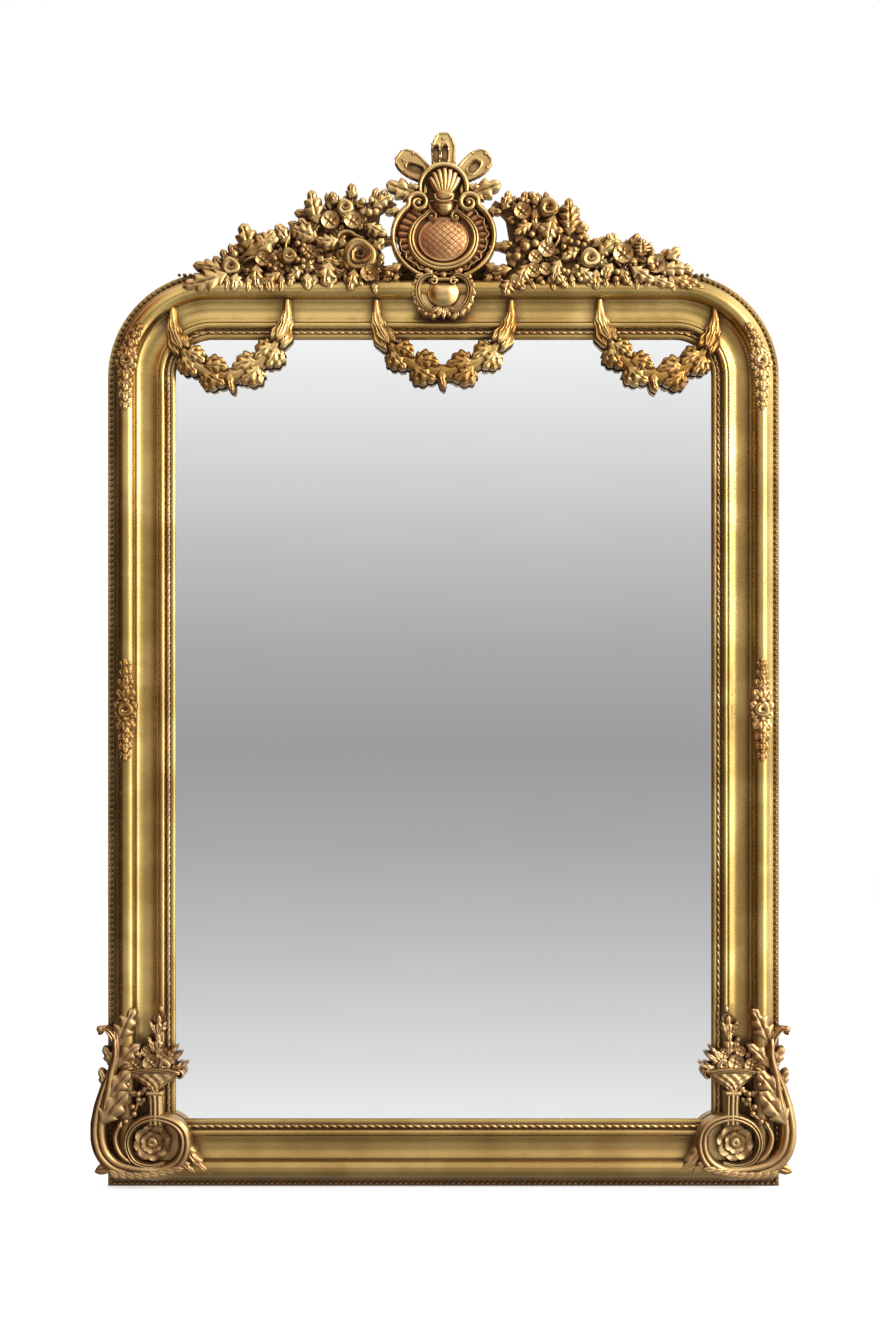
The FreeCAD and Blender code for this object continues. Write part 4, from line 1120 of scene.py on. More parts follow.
    def arch(self) -> Carving:
        """Plain rounded band over the shell, with a husk at each foot."""
        piece = Carving(ground=34.0)
        path = oval(self.arch_centre, (self.arch_radius, self.arch_radius), 206, -26, 26)
        piece.scroll(Spine(path, 3), tapered(8, 10, 10.5, 10, 8), 46.5, 7.0, 1, 54, 10)
        for side in (-1, 1):
            piece.leaf(side * 34, 1686, 90 + side * 24, 26, 9, 44, -side * 40, 1, 4, 1)
        return piece

    def hollow_niche(self) -> Carving:
        """The dished ground under the arch."""
        piece = Carving(ground=31.5)
        piece.disc(self.arch_centre, (self.niche_radius, self.niche_radius),
                   lambda angle, share: 36 + 6 * share ** 4, 40, 8)
        return piece

    def lobe(self, root: Point, heading: float, length: float, half: Width,
             slots: Sequence[tuple[float, ...]], knobs: Sequence[Point]) -> Carving:
        """A lobe over the arch: a rimmed plate with deep slots and small drilled knobs.

        Args:
            root: the middle of its foot.
            heading: its direction in degrees.
            length: its reach.
            half: its half width at each share of the length.
            slots: along, across, half length, half width and turn of each slot.
            knobs: where the small knobs stand.

        Returns:
            The lobe.
        """
        piece = Carving(ground=36.5)
        turn = math.radians(heading)
        floor = 37.5

        def shape(s: float, t: float) -> Vector:
            """The place of a point of the lobe: a raised rim round it and round each slot."""
            a, b = length * s, half(s) * t
            inset = min((1 - abs(t)) * half(s), length * (1 - s))
            height = 42.5 + 4.5 * smooth(0.0, 3.2, inset) - 1.6 * smooth(3.4, 6.0, inset)
            for along, across, long, wide, twist in slots:
                lean = math.radians(twist)
                u = (a - along) * math.cos(lean) + (b - across) * math.sin(lean)
                v = (b - across) * math.cos(lean) - (a - along) * math.sin(lean)
                away = (abs(u / long) ** 3 + abs(v / wide) ** 3) ** (1 / 3)
                height += 2.0 * bell(away - 1.18, 0.16) - 7.0 * smooth(1.08, 0.82, away)
            return Vector((*turned(root, turn, a, b), max(height, floor)))
        piece.relief(52, 44, shape)
        for x, y in knobs:
            piece.berry(x, y, 46.0, 2.8)
        return piece

    def lobes(self) -> dict[str, Carving]:
        """The middle lobe and the two side ones."""
        ogive = tapered(19.5, 20.5, 20.5, 21, 21.5, 20.5, 18, 14, 7)
        kite = tapered(15, 18, 20, 21.5, 22, 21, 18, 9)
        return {
            "centre": self.lobe((0, 1741), 90, 59, ogive, [(21, 12.5, 14, 5.4, 0), (21, -2.5, 15, 5.0, 0)],
                                [(-1, 1788), (18, 1776), (-19, 1778)]),
            "left": self.lobe((-30, 1726), 143, 60, kite, [(22, 1, 14, 5.6, 18)],
                              [(-69, 1751), (-66, 1731), (-52, 1762)]),
            "right": self.lobe((30, 1726), 37, 60, kite, [(26, -2, 12, 7.0, 12)],
                               [(49, 1763), (74, 1739), (71, 1762)]),
        }

    def small_cartouche(self) -> Carving:
        """Two leafy C-scrolls round the shield on the head rail, with a bar above and a fan below."""
        piece = Carving(ground=39.0)
        piece.disc((0, 1520), (38, 29), lambda angle, share: 53 + 3 * share ** 3, 40, 6)
        half = [(10, 1546), (24, 1552), (38, 1545), (44, 1529), (41, 1511), (31, 1497), (17, 1491),
                (10, 1497)]
        curl = spiral((17.0, 1541.0), 7.0, 2.5, 60, 0.9, 10)[::-1]
        ruff = Spine(half)
        for side in (-1, 1):
            piece.scroll(Spine([(side * x, y) for x, y in half]), tapered(7, 10, 11, 11, 10, 8, 5), 58,
                         7, 2, 44, 8)
            for k in range(8):
                point, ahead = ruff.at(0.10 + 0.105 * k)
                turn = math.degrees(math.atan2(ahead.y, ahead.x)) + 38
                piece.leaf(side * point.x, point.y, turn if side > 0 else 180 - turn, 18, 13, 57,
                           -side * 34, 2, 4, 1, 0.24)
            piece.scroll(Spine([(side * x, y) for x, y in curl]), tapered(4, 6), 62, 4, 1, 18, 6)
        bar = Spine([(-25, 1543), (0, 1545), (25, 1543)])
        piece.scroll(bar, tapered(6, 7, 6), 60, 5, 1, 20, 6)
        for k in range(-2, 3):
            piece.leaf(3 * k, 1500, 270 + 26 * k, 21 - abs(k), 11, 56, 0, 1, 4, 2, 0.1)
        piece.berry(0, 1552, 60, 5.5)
        return piece

    def shield(self) -> Carving:
        """Smooth swelling shield, flat above and round below."""
        piece = Carving(ground=54.0)

        def edge(angle: float) -> float:
            """A circle cut off flat at the top."""
            return min(1.0, 0.66 / max(0.01, math.sin(angle)))

        def height(angle: float, share: float) -> float:
            """A full swell inside a fine rim."""
            rim = 1.2 * smooth(0.84, 0.9, share) * (1 - smooth(0.95, 1, share))
            return 58 + 11 * (1 - share ** 2.4) + rim
        piece.disc((0, 1523), (27, 25), height, 56, 16, edge)
        return piece

    def build(self) -> None:
        """Makes every piece of the cartouche."""
        gilt, bole, dark = [PAINT(Finish.CREST)], [PAINT(Finish.BOLE)], [PAINT(Finish.GROUND)]
        crest, reddish = "gilded_crest", "reddish_cartouche_ground"
        self.plate().finish("cartouche_gadroons", bole, reddish, ["cartouche_plate"])
        self.rocaille_edge().finish("cartouche_rocaille_edge", gilt, crest)
        for side, mirror in SIDES:
            self.outer_scroll().finish(f"cartouche_{side}_c_scroll", gilt, crest,
                                       [f"cartouche_{side}_scroll"], mirror)
        self.ring().finish("cartouche_inner_c_scroll", gilt, crest, ["cartouche_inner_ring"])
        self.boss().finish("cartouche_lozenge_boss", bole, reddish, ["cartouche_boss"])
        self.shell().finish("cartouche_shell", gilt, crest, ["shell_palmette"])
        self.arch().finish("cartouche_arch", gilt, crest, ["crest_arch"])
        # The niche under the arch is painted dark as shade.
        self.hollow_niche().finish("cartouche_niche", dark, crest)
        for name, lobe in self.lobes().items():
            lobe.finish(f"crest_lobe_{name}", gilt, crest, [f"crest_petal_{name}"])
        self.small_cartouche().finish("head_rail_cartouche", gilt, crest, ["lower_cartouche"])
        self.shield().finish("head_rail_shield", gilt, crest, ["lower_shield"])


@dataclass
class Spray:
    """A spray of flowers, leaves and berries beside the cartouche, on a carved ground painted dark as shade.

    Leaves: x, y, heading, length, width, height, bend, lobes. Flowers and roses: x, y, radius, height, and
    the number of petals or of turns. Berries: x, y, radius, height. Stems: their path and their widths.
    """

    side: str
    ground: Sequence[Point]
    leaves: Sequence[tuple[float, ...]]
    flowers: Sequence[tuple[float, ...]]
    roses: Sequence[tuple[float, ...]]
    berries: Sequence[tuple[float, ...]]
    stems: Sequence[tuple[Sequence[Sequence[float]], Sequence[float]]]
    seed: int = 3
    fillers: int = 130
    bud_every: int = 6
    bed_rear: float = 30.5
    bed_thickness: float = 10.5
    leaf_rear: float = 33.0
    margin: float = 6.0
    fringe_pitch: float = 18.0
    open_reach: float = 118.0
    rail_line: float = 1556.0

    def outline(self) -> list[tuple[Point, Point]]:
        """The sides of the ground, each from corner to corner."""
        return list(zip(self.ground, [*self.ground[1:], self.ground[0]]))

    def inside(self, x: float, y: float) -> bool:
        """Whether a point lies within the ground's outline."""
        odd = False
        for (ax, ay), (bx, by) in self.outline():
            if (ay > y) != (by > y) and x < ax + (y - ay) * (bx - ax) / (by - ay):
                odd = not odd
        return odd

    def bed(self) -> Carving:
        """The flat carved ground."""
        piece = Carving(ground=self.bed_rear)
        bm = piece.mesh
        ring = [bm.verts.new((x, y, self.bed_rear)) for x, y in self.ground]
        edges = [bm.edges.new(pair) for pair in zip(ring, ring[1:] + ring[:1])]
        base = bmesh.ops.edgeloop_fill(bm, edges=edges)
        raised = bmesh.ops.extrude_face_region(bm, geom=base["faces"])["geom"]
        bmesh.ops.translate(bm, vec=(0, 0, self.bed_thickness),
                            verts=[vert for vert in raised if isinstance(vert, bmesh.types.BMVert)])
        return piece

    def filling(self) -> Carving:
        """Small leaves and buds that fill the ground between the larger forms, and its fringe."""
        piece = Carving(ground=self.leaf_rear)
        dice = random.Random(self.seed)
        low = min(x for x, _ in self.ground), min(y for _, y in self.ground)
        high = max(x for x, _ in self.ground), max(y for _, y in self.ground)
        placed = 0
        while placed < self.fillers:
            x, y = dice.uniform(low[0], high[0]), dice.uniform(low[1], high[1])
            if not all(self.inside(x + step, y) for step in (0, self.margin, -self.margin)):
                continue
            placed += 1
            if placed % self.bud_every == 0:
                piece.berry(x, y, 44 + dice.uniform(0, 6), dice.uniform(3.5, 5.5))
                continue
            heading = dice.uniform(0, 360)
            length = dice.uniform(26, 40)
            if self.inside(*turned((x, y), math.radians(heading), length, 0)):
                piece.leaf(x, y, heading, length, 0.62 * length, 37 + dice.uniform(0, 9),
                           dice.uniform(-50, 50), 2, 7.0, 4, 0.30)
        self.fringe(piece, dice)
        return piece

    def fringe(self, piece: Carving, dice: random.Random) -> None:
        """Sets leaf tips round the ground, standing on its upper edge and hanging over the head rail.

        Args:
            piece: the carving that they join.
            dice: the draws that place them.
        """
        around = 90 if self.side == "left" else -90
        for (ax, ay), (bx, by) in self.outline():
            run = math.hypot(bx - ax, by - ay)
            outward = math.degrees(math.atan2(by - ay, bx - ax)) + around
            if abs(ax) < self.open_reach and abs(bx) < self.open_reach:
                continue
            count = max(1, round(run / self.fringe_pitch))
            for k in range(count):
                share = (k + dice.uniform(0.3, 0.7)) / count
                heading = outward + dice.uniform(-38, 38)
                x, y = turned((ax + (bx - ax) * share, ay + (by - ay) * share), math.radians(heading),
                              -8, 0)
                hanging = ay < self.rail_line and by < self.rail_line
                piece.leaf(x, y, heading, dice.uniform(24, 33), dice.uniform(15, 20),
                           56 if hanging else 42, dice.uniform(-30, 30), 2, 6.5, 3, 0.26)

    def carve(self) -> Carving:
        """The named leaves, flowers, roses, berries and stems."""
        piece = Carving(ground=self.leaf_rear)
        for x, y, heading, length, width, z, bend, lobes in self.leaves:
            piece.leaf(x, y, heading, 1.18 * length, 1.42 * width, z, bend, int(lobes),
                       0.32 * width + 2, 4, 0.30)
        for x, y, radius, z, petals in self.flowers:
            piece.flower(x, y, radius, z, int(petals))
        for rose in self.roses:
            piece.rose(*rose)
        for x, y, radius, z in self.berries:
            piece.berry(x, y, z, radius)
        for path, widths in self.stems:
            piece.scroll(Spine(path), tapered(*widths), 52, 6.5, 1, 0, 6)
        return piece

    def build(self) -> None:
        """Makes the spray."""
        # The ground is painted dark as the shade between the carved leaves.
        self.bed().finish(f"{self.side}_spray_ground", [PAINT(Finish.GROUND)], "gilded_crest",
                          [f"{self.side}_flower_spray"])
        for name, piece in (("small_leaves", self.filling()), ("flowers_and_leaves", self.carve())):
            piece.finish(f"{self.side}_spray_{name}", [PAINT(Finish.CREST)], "gilded_crest")


LEFT_SPRAY = Spray(
    side="left",
    ground=[
        (-408, 1552), (-392, 1568), (-364, 1588), (-335, 1603), (-304, 1609), (-277, 1621),
        (-247, 1629), (-236, 1650), (-226, 1670), (-206, 1668), (-182, 1677), (-150, 1673),
        (-128, 1681), (-96, 1686), (-80, 1678), (-108, 1660), (-112, 1626), (-80, 1620), (-80, 1611),
        (-109, 1604), (-112, 1576), (-74, 1566), (-70, 1556), (-136, 1548), (-396, 1546)],
    leaves=[
        (-374, 1561, 160, 45, 20, 50, 20, 3), (-366, 1556, 205, 68, 30, 56, -18, 4),
        (-330, 1597, 100, 40, 28, 48, 10, 3), (-340, 1588, 20, 60, 26, 50, 20, 3),
        (-310, 1598, 62, 34, 22, 50, -20, 3), (-316, 1572, 262, 36, 20, 56, 16, 3),
        (-213, 1640, 107, 50, 26, 52, -12, 4), (-225, 1628, 130, 26, 16, 50, 10, 2),
        (-213, 1612, 150, 42, 28, 56, 16, 4), (-192, 1574, 250, 36, 26, 60, 20, 3),
        (-151, 1562, 262, 34, 18, 62, -14, 3), (-119, 1540, 280, 18, 12, 60, 0, 2),
        (-178, 1676, 150, 20, 14, 52, -60, 2), (-160, 1684, 60, 22, 15, 52, 50, 2),
        (-131, 1640, 322, 34, 18, 56, 20, 3), (-120, 1668, 42, 34, 17, 50, -26, 3),
        (-262, 1606, 118, 34, 20, 52, 18, 3), (-290, 1596, 150, 32, 18, 52, -20, 2),
        (-240, 1570, 236, 30, 18, 56, -20, 3), (-276, 1556, 200, 34, 16, 58, 20, 3),
        (-350, 1556, 250, 28, 16, 58, 20, 2), (-178, 1612, 196, 34, 20, 60, -30, 3),
        (-160, 1640, 110, 24, 15, 54, 30, 2), (-230, 1556, 262, 26, 16, 60, 20, 2),
        (-300, 1552, 276, 24, 14, 58, 0, 2), (-386, 1553, 190, 30, 15, 54, 14, 2),
        (-122, 1600, 20, 22, 14, 56, 30, 2), (-116, 1616, 0, 30, 13, 46, -10, 2)],
    flowers=[
        (-192, 1646, 16, 56, 5), (-153.5, 1646, 15, 56, 5), (-126, 1555, 15, 62, 6),
        (-306, 1580, 13, 58, 5), (-226, 1592, 12, 58, 5)],
    roses=[
        (-361, 1568, 17, 52, 2.2), (-167, 1668, 15, 54, 2.2), (-142, 1587, 30, 50, 3.2),
        (-262, 1586, 14, 55, 1.8)],
    berries=[
        (-355.5, 1590, 8, 52), (-286, 1580, 5, 62), (-295, 1568, 5, 62), (-286, 1562, 5, 62),
        (-271, 1622, 7, 50), (-252, 1621, 5.5, 56), (-239, 1614, 5.5, 58), (-247, 1606, 5.5, 60),
        (-237, 1602, 5.5, 60), (-239, 1594, 5.5, 62), (-230, 1584, 5.5, 62), (-238, 1576, 5.5, 62),
        (-247, 1578, 5.5, 61), (-238, 1566, 5.5, 62), (-250, 1562, 5.5, 61), (-126, 1660, 7, 54),
        (-114.7, 1661, 6.5, 54), (-137.5, 1680, 6.5, 50), (-122, 1682, 6, 50), (-105.6, 1582, 5.5, 58),
        (-94.6, 1556, 5.5, 56)],
    stems=[([(-181, 1612), (-176, 1624), (-160, 1628), (-148, 1620), (-135, 1617)], (4, 9, 9, 7, 3)),
           ([(-250, 1640), (-262, 1620), (-268, 1600), (-262, 1582)], (4, 7, 7, 5)),
           ([(-340, 1576), (-322, 1584), (-304, 1578), (-296, 1560)], (4, 7, 7, 4))],
    seed=5,
)

RIGHT_SPRAY = Spray(
    side="right",
    ground=[
        (410, 1552), (396, 1564), (378, 1580), (346, 1592), (334, 1598), (306, 1608), (283, 1607),
        (262, 1600), (254, 1616), (228, 1622), (226, 1654), (202, 1656), (190, 1672), (172, 1676),
        (128, 1672), (106, 1674), (88, 1684), (82, 1676), (106, 1650), (112, 1616), (84, 1610),
        (84, 1602), (108, 1594), (110, 1572), (72, 1564), (68, 1556), (136, 1548), (396, 1546)],
    leaves=[
        (100, 1664, 58, 30, 16, 50, 30, 3), (134, 1664, 80, 28, 18, 48, 0, 3),
        (213, 1620, 86, 55, 27, 50, 10, 5), (188, 1655, 250, 46, 22, 56, 16, 4),
        (263, 1588, 40, 38, 20, 50, -16, 3), (378, 1582, 32, 26, 18, 48, 10, 2),
        (360, 1562, 2, 54, 20, 56, -6, 4), (388, 1550, 322, 34, 15, 58, 10, 3),
        (404, 1549, 330, 36, 15, 54, 6, 3), (318, 1566, 322, 40, 20, 60, 10, 3),
        (350, 1549, 334, 38, 15, 60, 6, 3), (258.5, 1562, 270, 30, 19, 58, 0, 3),
        (187, 1562, 296, 32, 15, 62, 14, 3), (115, 1545, 240, 26, 22, 58, 20, 3),
        (122, 1552, 290, 26, 20, 60, 20, 3), (337, 1584, 90, 26, 26, 52, 0, 5),
        (318, 1600, 60, 24, 15, 50, 0, 2), (291, 1602, 122, 22, 14, 50, 0, 2),
        (232, 1566, 300, 32, 18, 58, 20, 3), (150, 1640, 200, 30, 16, 56, 26, 3),
        (166, 1640, 330, 34, 18, 56, 20, 3), (230, 1596, 200, 30, 16, 58, 20, 2),
        (198, 1578, 240, 34, 18, 60, 24, 3), (286, 1572, 236, 26, 16, 60, 20, 2),
        (144, 1570, 236, 34, 20, 60, 20, 3), (160, 1672, 110, 24, 13, 50, 30, 2),
        (300, 1562, 296, 24, 14, 60, 0, 2), (118, 1606, 180, 30, 13, 46, 10, 2)],
    flowers=[
        (134, 1662, 15, 56, 5), (155.7, 1583, 12, 60, 5), (175, 1597, 15, 58, 5),
        (305, 1590, 18, 56, 5), (361, 1571, 16, 58, 4), (153, 1560, 13, 62, 5),
        (172.5, 1562, 11, 62, 5), (276, 1556, 10, 62, 5)],
    roses=[
        (178.5, 1668, 17, 53, 2.4), (249, 1582, 18, 54, 2.2), (122, 1542, 13, 58, 1.6)],
    berries=[
        (136.6, 1643, 6.5, 56), (167.7, 1631, 8.5, 54), (139, 1601, 9.6, 58), (155.7, 1606, 8, 58),
        (124.7, 1584, 8, 60), (215.6, 1610, 5.4, 58), (227.5, 1607, 5.4, 58), (203.6, 1600, 5.4, 60),
        (213, 1589, 5.4, 62), (222.7, 1595, 5.4, 61), (232, 1617, 5.4, 55), (244, 1612, 5.4, 54),
        (238, 1604, 5.4, 57), (353, 1566, 6, 64), (203.6, 1559, 5, 63), (210.5, 1557, 5, 64),
        (225, 1566, 5, 62), (227.5, 1552, 5, 63), (232, 1545, 5, 62), (294, 1557, 6, 62),
        (292, 1545, 6, 62), (309, 1554, 6, 61), (196, 1629, 5, 56), (150, 1622, 6, 56)],
    stems=[([(282, 1576), (288, 1582), (296, 1574), (302, 1566)], (4, 6, 6, 4)),
           ([(187, 1640), (196, 1620), (190, 1604), (178, 1592)], (4, 7, 7, 4)),
           ([(330, 1562), (342, 1558), (356, 1552), (372, 1550)], (4, 6, 6, 4))],
    seed=11,
)


# ---- garlands and drops ----------------------------------
@dataclass
class Garland:
    """A swag of acanthus cups, three from each end, that meet at a bud in the middle.

    path_shape is half of its line: how far along the chord, and how far down as a share of the drop. Cups:
    where each stands along the line, and its half width. Fans: for each leaf of a cup its turn, length and
    breadth as shares of the usual ones, and how much higher it lies.
    """

    name: str
    start: Point
    end: Point
    drop: float = 116.0
    rear: float = 36.0
    path_shape: Sequence[Point] = ((0.0, 0.0), (0.01, 0.30), (0.08, 0.60), (0.21, 0.86), (0.36, 1.0),
                                   (0.5, 1.06))
    cups: Sequence[Point] = ((0.285, 20.0), (0.41, 22.0))
    fans: Sequence[tuple[float, float, float, float]] = (
        (-62, 0.92, 0.95, -6.0), (64, 0.92, 0.95, -5.0), (-26, 1.12, 1.15, -1.0), (30, 1.04, 1.05, 2.0))

    def path(self) -> Spine:
        """The swag's line, which swells out of the wall in the middle."""
        shares = list(self.path_shape) + [(1 - a, b) for a, b in reversed(self.path_shape[:-1])]
        (ax, ay), (bx, by) = self.start, self.end
        return Spine([(ax + (bx - ax) * a, ay + (by - ay) * a - self.drop * b, 44 + 6 * min(1, 2 * b))
                      for a, b in shares])

    def frond(self, piece: Carving, spine: Spine, tip: float, width: float, lean: float, lift: float,
              reverse: bool) -> None:
        """One leaf of the first cup, bent along the swag and ruffled across.

        Args:
            piece: the carving that it joins.
            spine: the swag's line.
            tip: share of the line at its tip; its root is at the end of the line.
            width: its full width.
            lean: how far its tip stands off to one side.
            lift: how much it stands over the line.
            reverse: whether it runs from the far end.
        """
        def shape(s: float, t: float) -> Vector:
            """The place of a point of the leaf."""
            point, ahead = spine.at(1 - tip * s if reverse else tip * s)
            side = leftward(ahead) * (-1 if reverse else 1)
            beat = 0.5 - 0.5 * math.cos(2 * math.pi * 3.5 * s)
            half = width / 2 * (0.34 + 0.66 * smooth(0.0, 0.62, s))
            half *= math.sqrt(max(0.0, 1 - smooth(0.74, 1.0, s)))
            half *= 1 - 0.26 * (1 - beat) * smooth(0.15, 0.5, s)
            across = lean * smooth(0.1, 1.0, s) + half * t
            round_over = 0.60 * width / 2 * dome(t, 0.96) * (0.5 + 0.5 * s)
            ribs = 0.8 * math.cos(2 * math.pi * (2.0 * abs(t) + 0.9 * s)) * smooth(0.1, 0.4, s)
            flare = 5.5 * smooth(0.6, 0.92, s) - 4.0 * smooth(0.9, 1.0, s)
            return point + side * across + Vector((0, 0, lift + round_over + ribs + flare - 6))
        piece.relief(26, 12, shape, self.rear)

    def cup(self, piece: Carving, spine: Spine, share: float, radius: float, reverse: bool) -> None:
        """A full cup of curled leaves that opens towards the middle of the swag.

        Args:
            piece: the carving that it joins.
            spine: the swag's line.
            share: where its middle is.
            radius: its half width.
            reverse: whether it is counted from the far end.
        """
        point, ahead = spine.at(1 - share if reverse else share)
        ahead = -ahead if reverse else ahead
        heading = math.degrees(math.atan2(ahead.y, ahead.x))
        body = point - 0.1 * radius * ahead
        piece.disc((body.x, body.y), (0.86 * radius, 0.86 * radius),
                   lambda angle, reach: point.z - 4 + 0.42 * radius * dome(reach), 24, 6,
                   ground=self.rear)
        for fan, reach, breadth, lift in self.fans:
            aside = 0.30 * radius * math.sin(math.radians(fan))
            root = point - 0.85 * radius * ahead + leftward(ahead) * aside
            piece.leaf(root.x, root.y, heading + fan, 1.9 * radius * reach, 1.2 * radius * breadth,
                       point.z + lift, -1.1 * fan, 3, 0.42 * radius, 4.5, 0.30, self.rear)

    def build(self) -> None:
        """Makes the swag."""
        piece = Carving(ground=34.5)
        spine = self.path()
        stem = tapered(14, 15, 18, 22, 26, 28, 26, 22, 18, 15, 14)
        piece.scroll(spine, stem, -4, 9, 1, 90, 8, self.rear)
        for reverse in (False, True):
            for lean, tip, lift in ((-10.0, 0.236, 2.0), (10.0, 0.236, 2.0), (0.0, 0.225, 6.5)):
                self.frond(piece, spine, tip, 25.0, lean, lift, reverse)
            for share, radius in self.cups:
                self.cup(piece, spine, share, radius, reverse)
        middle, _ = spine.at(0.5)
        piece.leaf(middle.x - 3, middle.y + 6, 262, 36, 19, 52, 34, 2, 7, 4, 0.2)
        piece.leaf(middle.x + 7, middle.y + 9, 296, 24, 14, 49, -20, 2, 5, 2, 0.2)
        piece.finish(f"{self.name}_leaf_garland", [PAINT(Finish.SWAGS)], "gilded_swags_and_drops",
                     [f"{self.name}_garland"])


@dataclass
class FlowerDrop:
    """A chain of husks and flowers on the torus, made for both sides.

    Links: x, y, half width, heading and whether it is a flower. solid is the name of the solid that it
    stands for, with a place for the side.
    """

    name: str
    solid: str
    links: Sequence[tuple[float, float, float, float, bool]]
    rear: float = 45.0
    edge: float = 57.0

    def flower(self, piece: Carving, x: float, y: float, half: float, heading: float) -> None:
        """A rose on a ring of five leaves.

        Args:
            piece: the carving that it joins.
            x, y, half: its place and half width.
            heading: which way the chain runs, in degrees.
        """
        for turn in (-62, 62, 128, -128, 180):
            piece.leaf(x, y, heading + turn, 1.25 * half, 1.15 * half, self.edge, 0, 2, 4.5, 1.5, 0.2)
        piece.rose(x, y, 0.78 * half, self.edge + 2, 1.8, 0.5)

    def husk(self, piece: Carving, x: float, y: float, half: float, heading: float) -> None:
        """A husk of three leaves that opens along the chain.

        Args:
            piece: the carving that it joins.
            x, y, half: its place and half width.
            heading: which way it opens, in degrees.
        """
        root = turned((x, y), math.radians(heading + 180), 0.6 * half, 0)
        for turn in (-46, 46):
            piece.leaf(*root, heading + turn, 1.55 * half, 1.4 * half, self.edge, turn * -0.4, 2, 4.6,
                       2.5, 0.2)
        piece.leaf(*root, heading, 2.0 * half, 1.5 * half, self.edge + 2, 0, 2, 5.0, 2, 0.2)
        piece.berry(*root, self.edge + 5, 0.34 * half)

    def build(self) -> None:
        """Makes the drop on both sides."""
        for side, mirror in SIDES:
            piece = Carving(ground=self.rear)
            line = Spine([(x, y) for x, y, *_ in self.links])
            widths = tapered(*[1.25 * half for _, _, half, *_ in self.links])
            piece.scroll(line, widths, self.edge - 2, 6.5, 1, 60, 6)
            for x, y, half, heading, flower in self.links:
                (self.flower if flower else self.husk)(piece, x, y, half, heading)
            piece.finish(f"{self.name}_{side}_leaves", [PAINT(Finish.DROPS)], "gilded_swags_and_drops",
                         [self.solid.format(side)], mirror)


def corner_drop() -> FlowerDrop:
    """Draws the drop that follows the torus from the quarter turn down to the stile.

    Returns:
        The drop.
    """
    centre, radius = (-395, 1386), 145
    links = []
    for angle, half, flower in ((146, 7, False), (151.5, 9, False), (157.5, 11, False),
                                (164, 13, False), (171.5, 17, True), (179, 13, False)):
        links.append((*turned(centre, math.radians(angle), radius, 0), half, angle + 90, flower))
    links += [(centre[0] - radius, centre[1] - drop, half, 270, False)
              for drop, half in ((16, 12), (34, 11), (51, 9))]
    return FlowerDrop("corner_drop", "upper_{}_drop", links)


def stile_drop() -> FlowerDrop:
    """Draws the drop at the stile's middle, with its largest flower in the centre.

    Returns:
        The drop.
    """
    x, y = -540.0, 816.0
    links = [(x, y + rise, half, heading, rise == 0) for rise, half, heading in (
        (76, 9, 90), (61, 10, 90), (44, 12.5, 90), (25, 15, 90), (0, 18.5, 90),
        (-25, 15, 270), (-44, 12.5, 270), (-61, 11, 270), (-77, 9, 270))]
    return FlowerDrop("stile_drop", "{}_stile_drop", links)


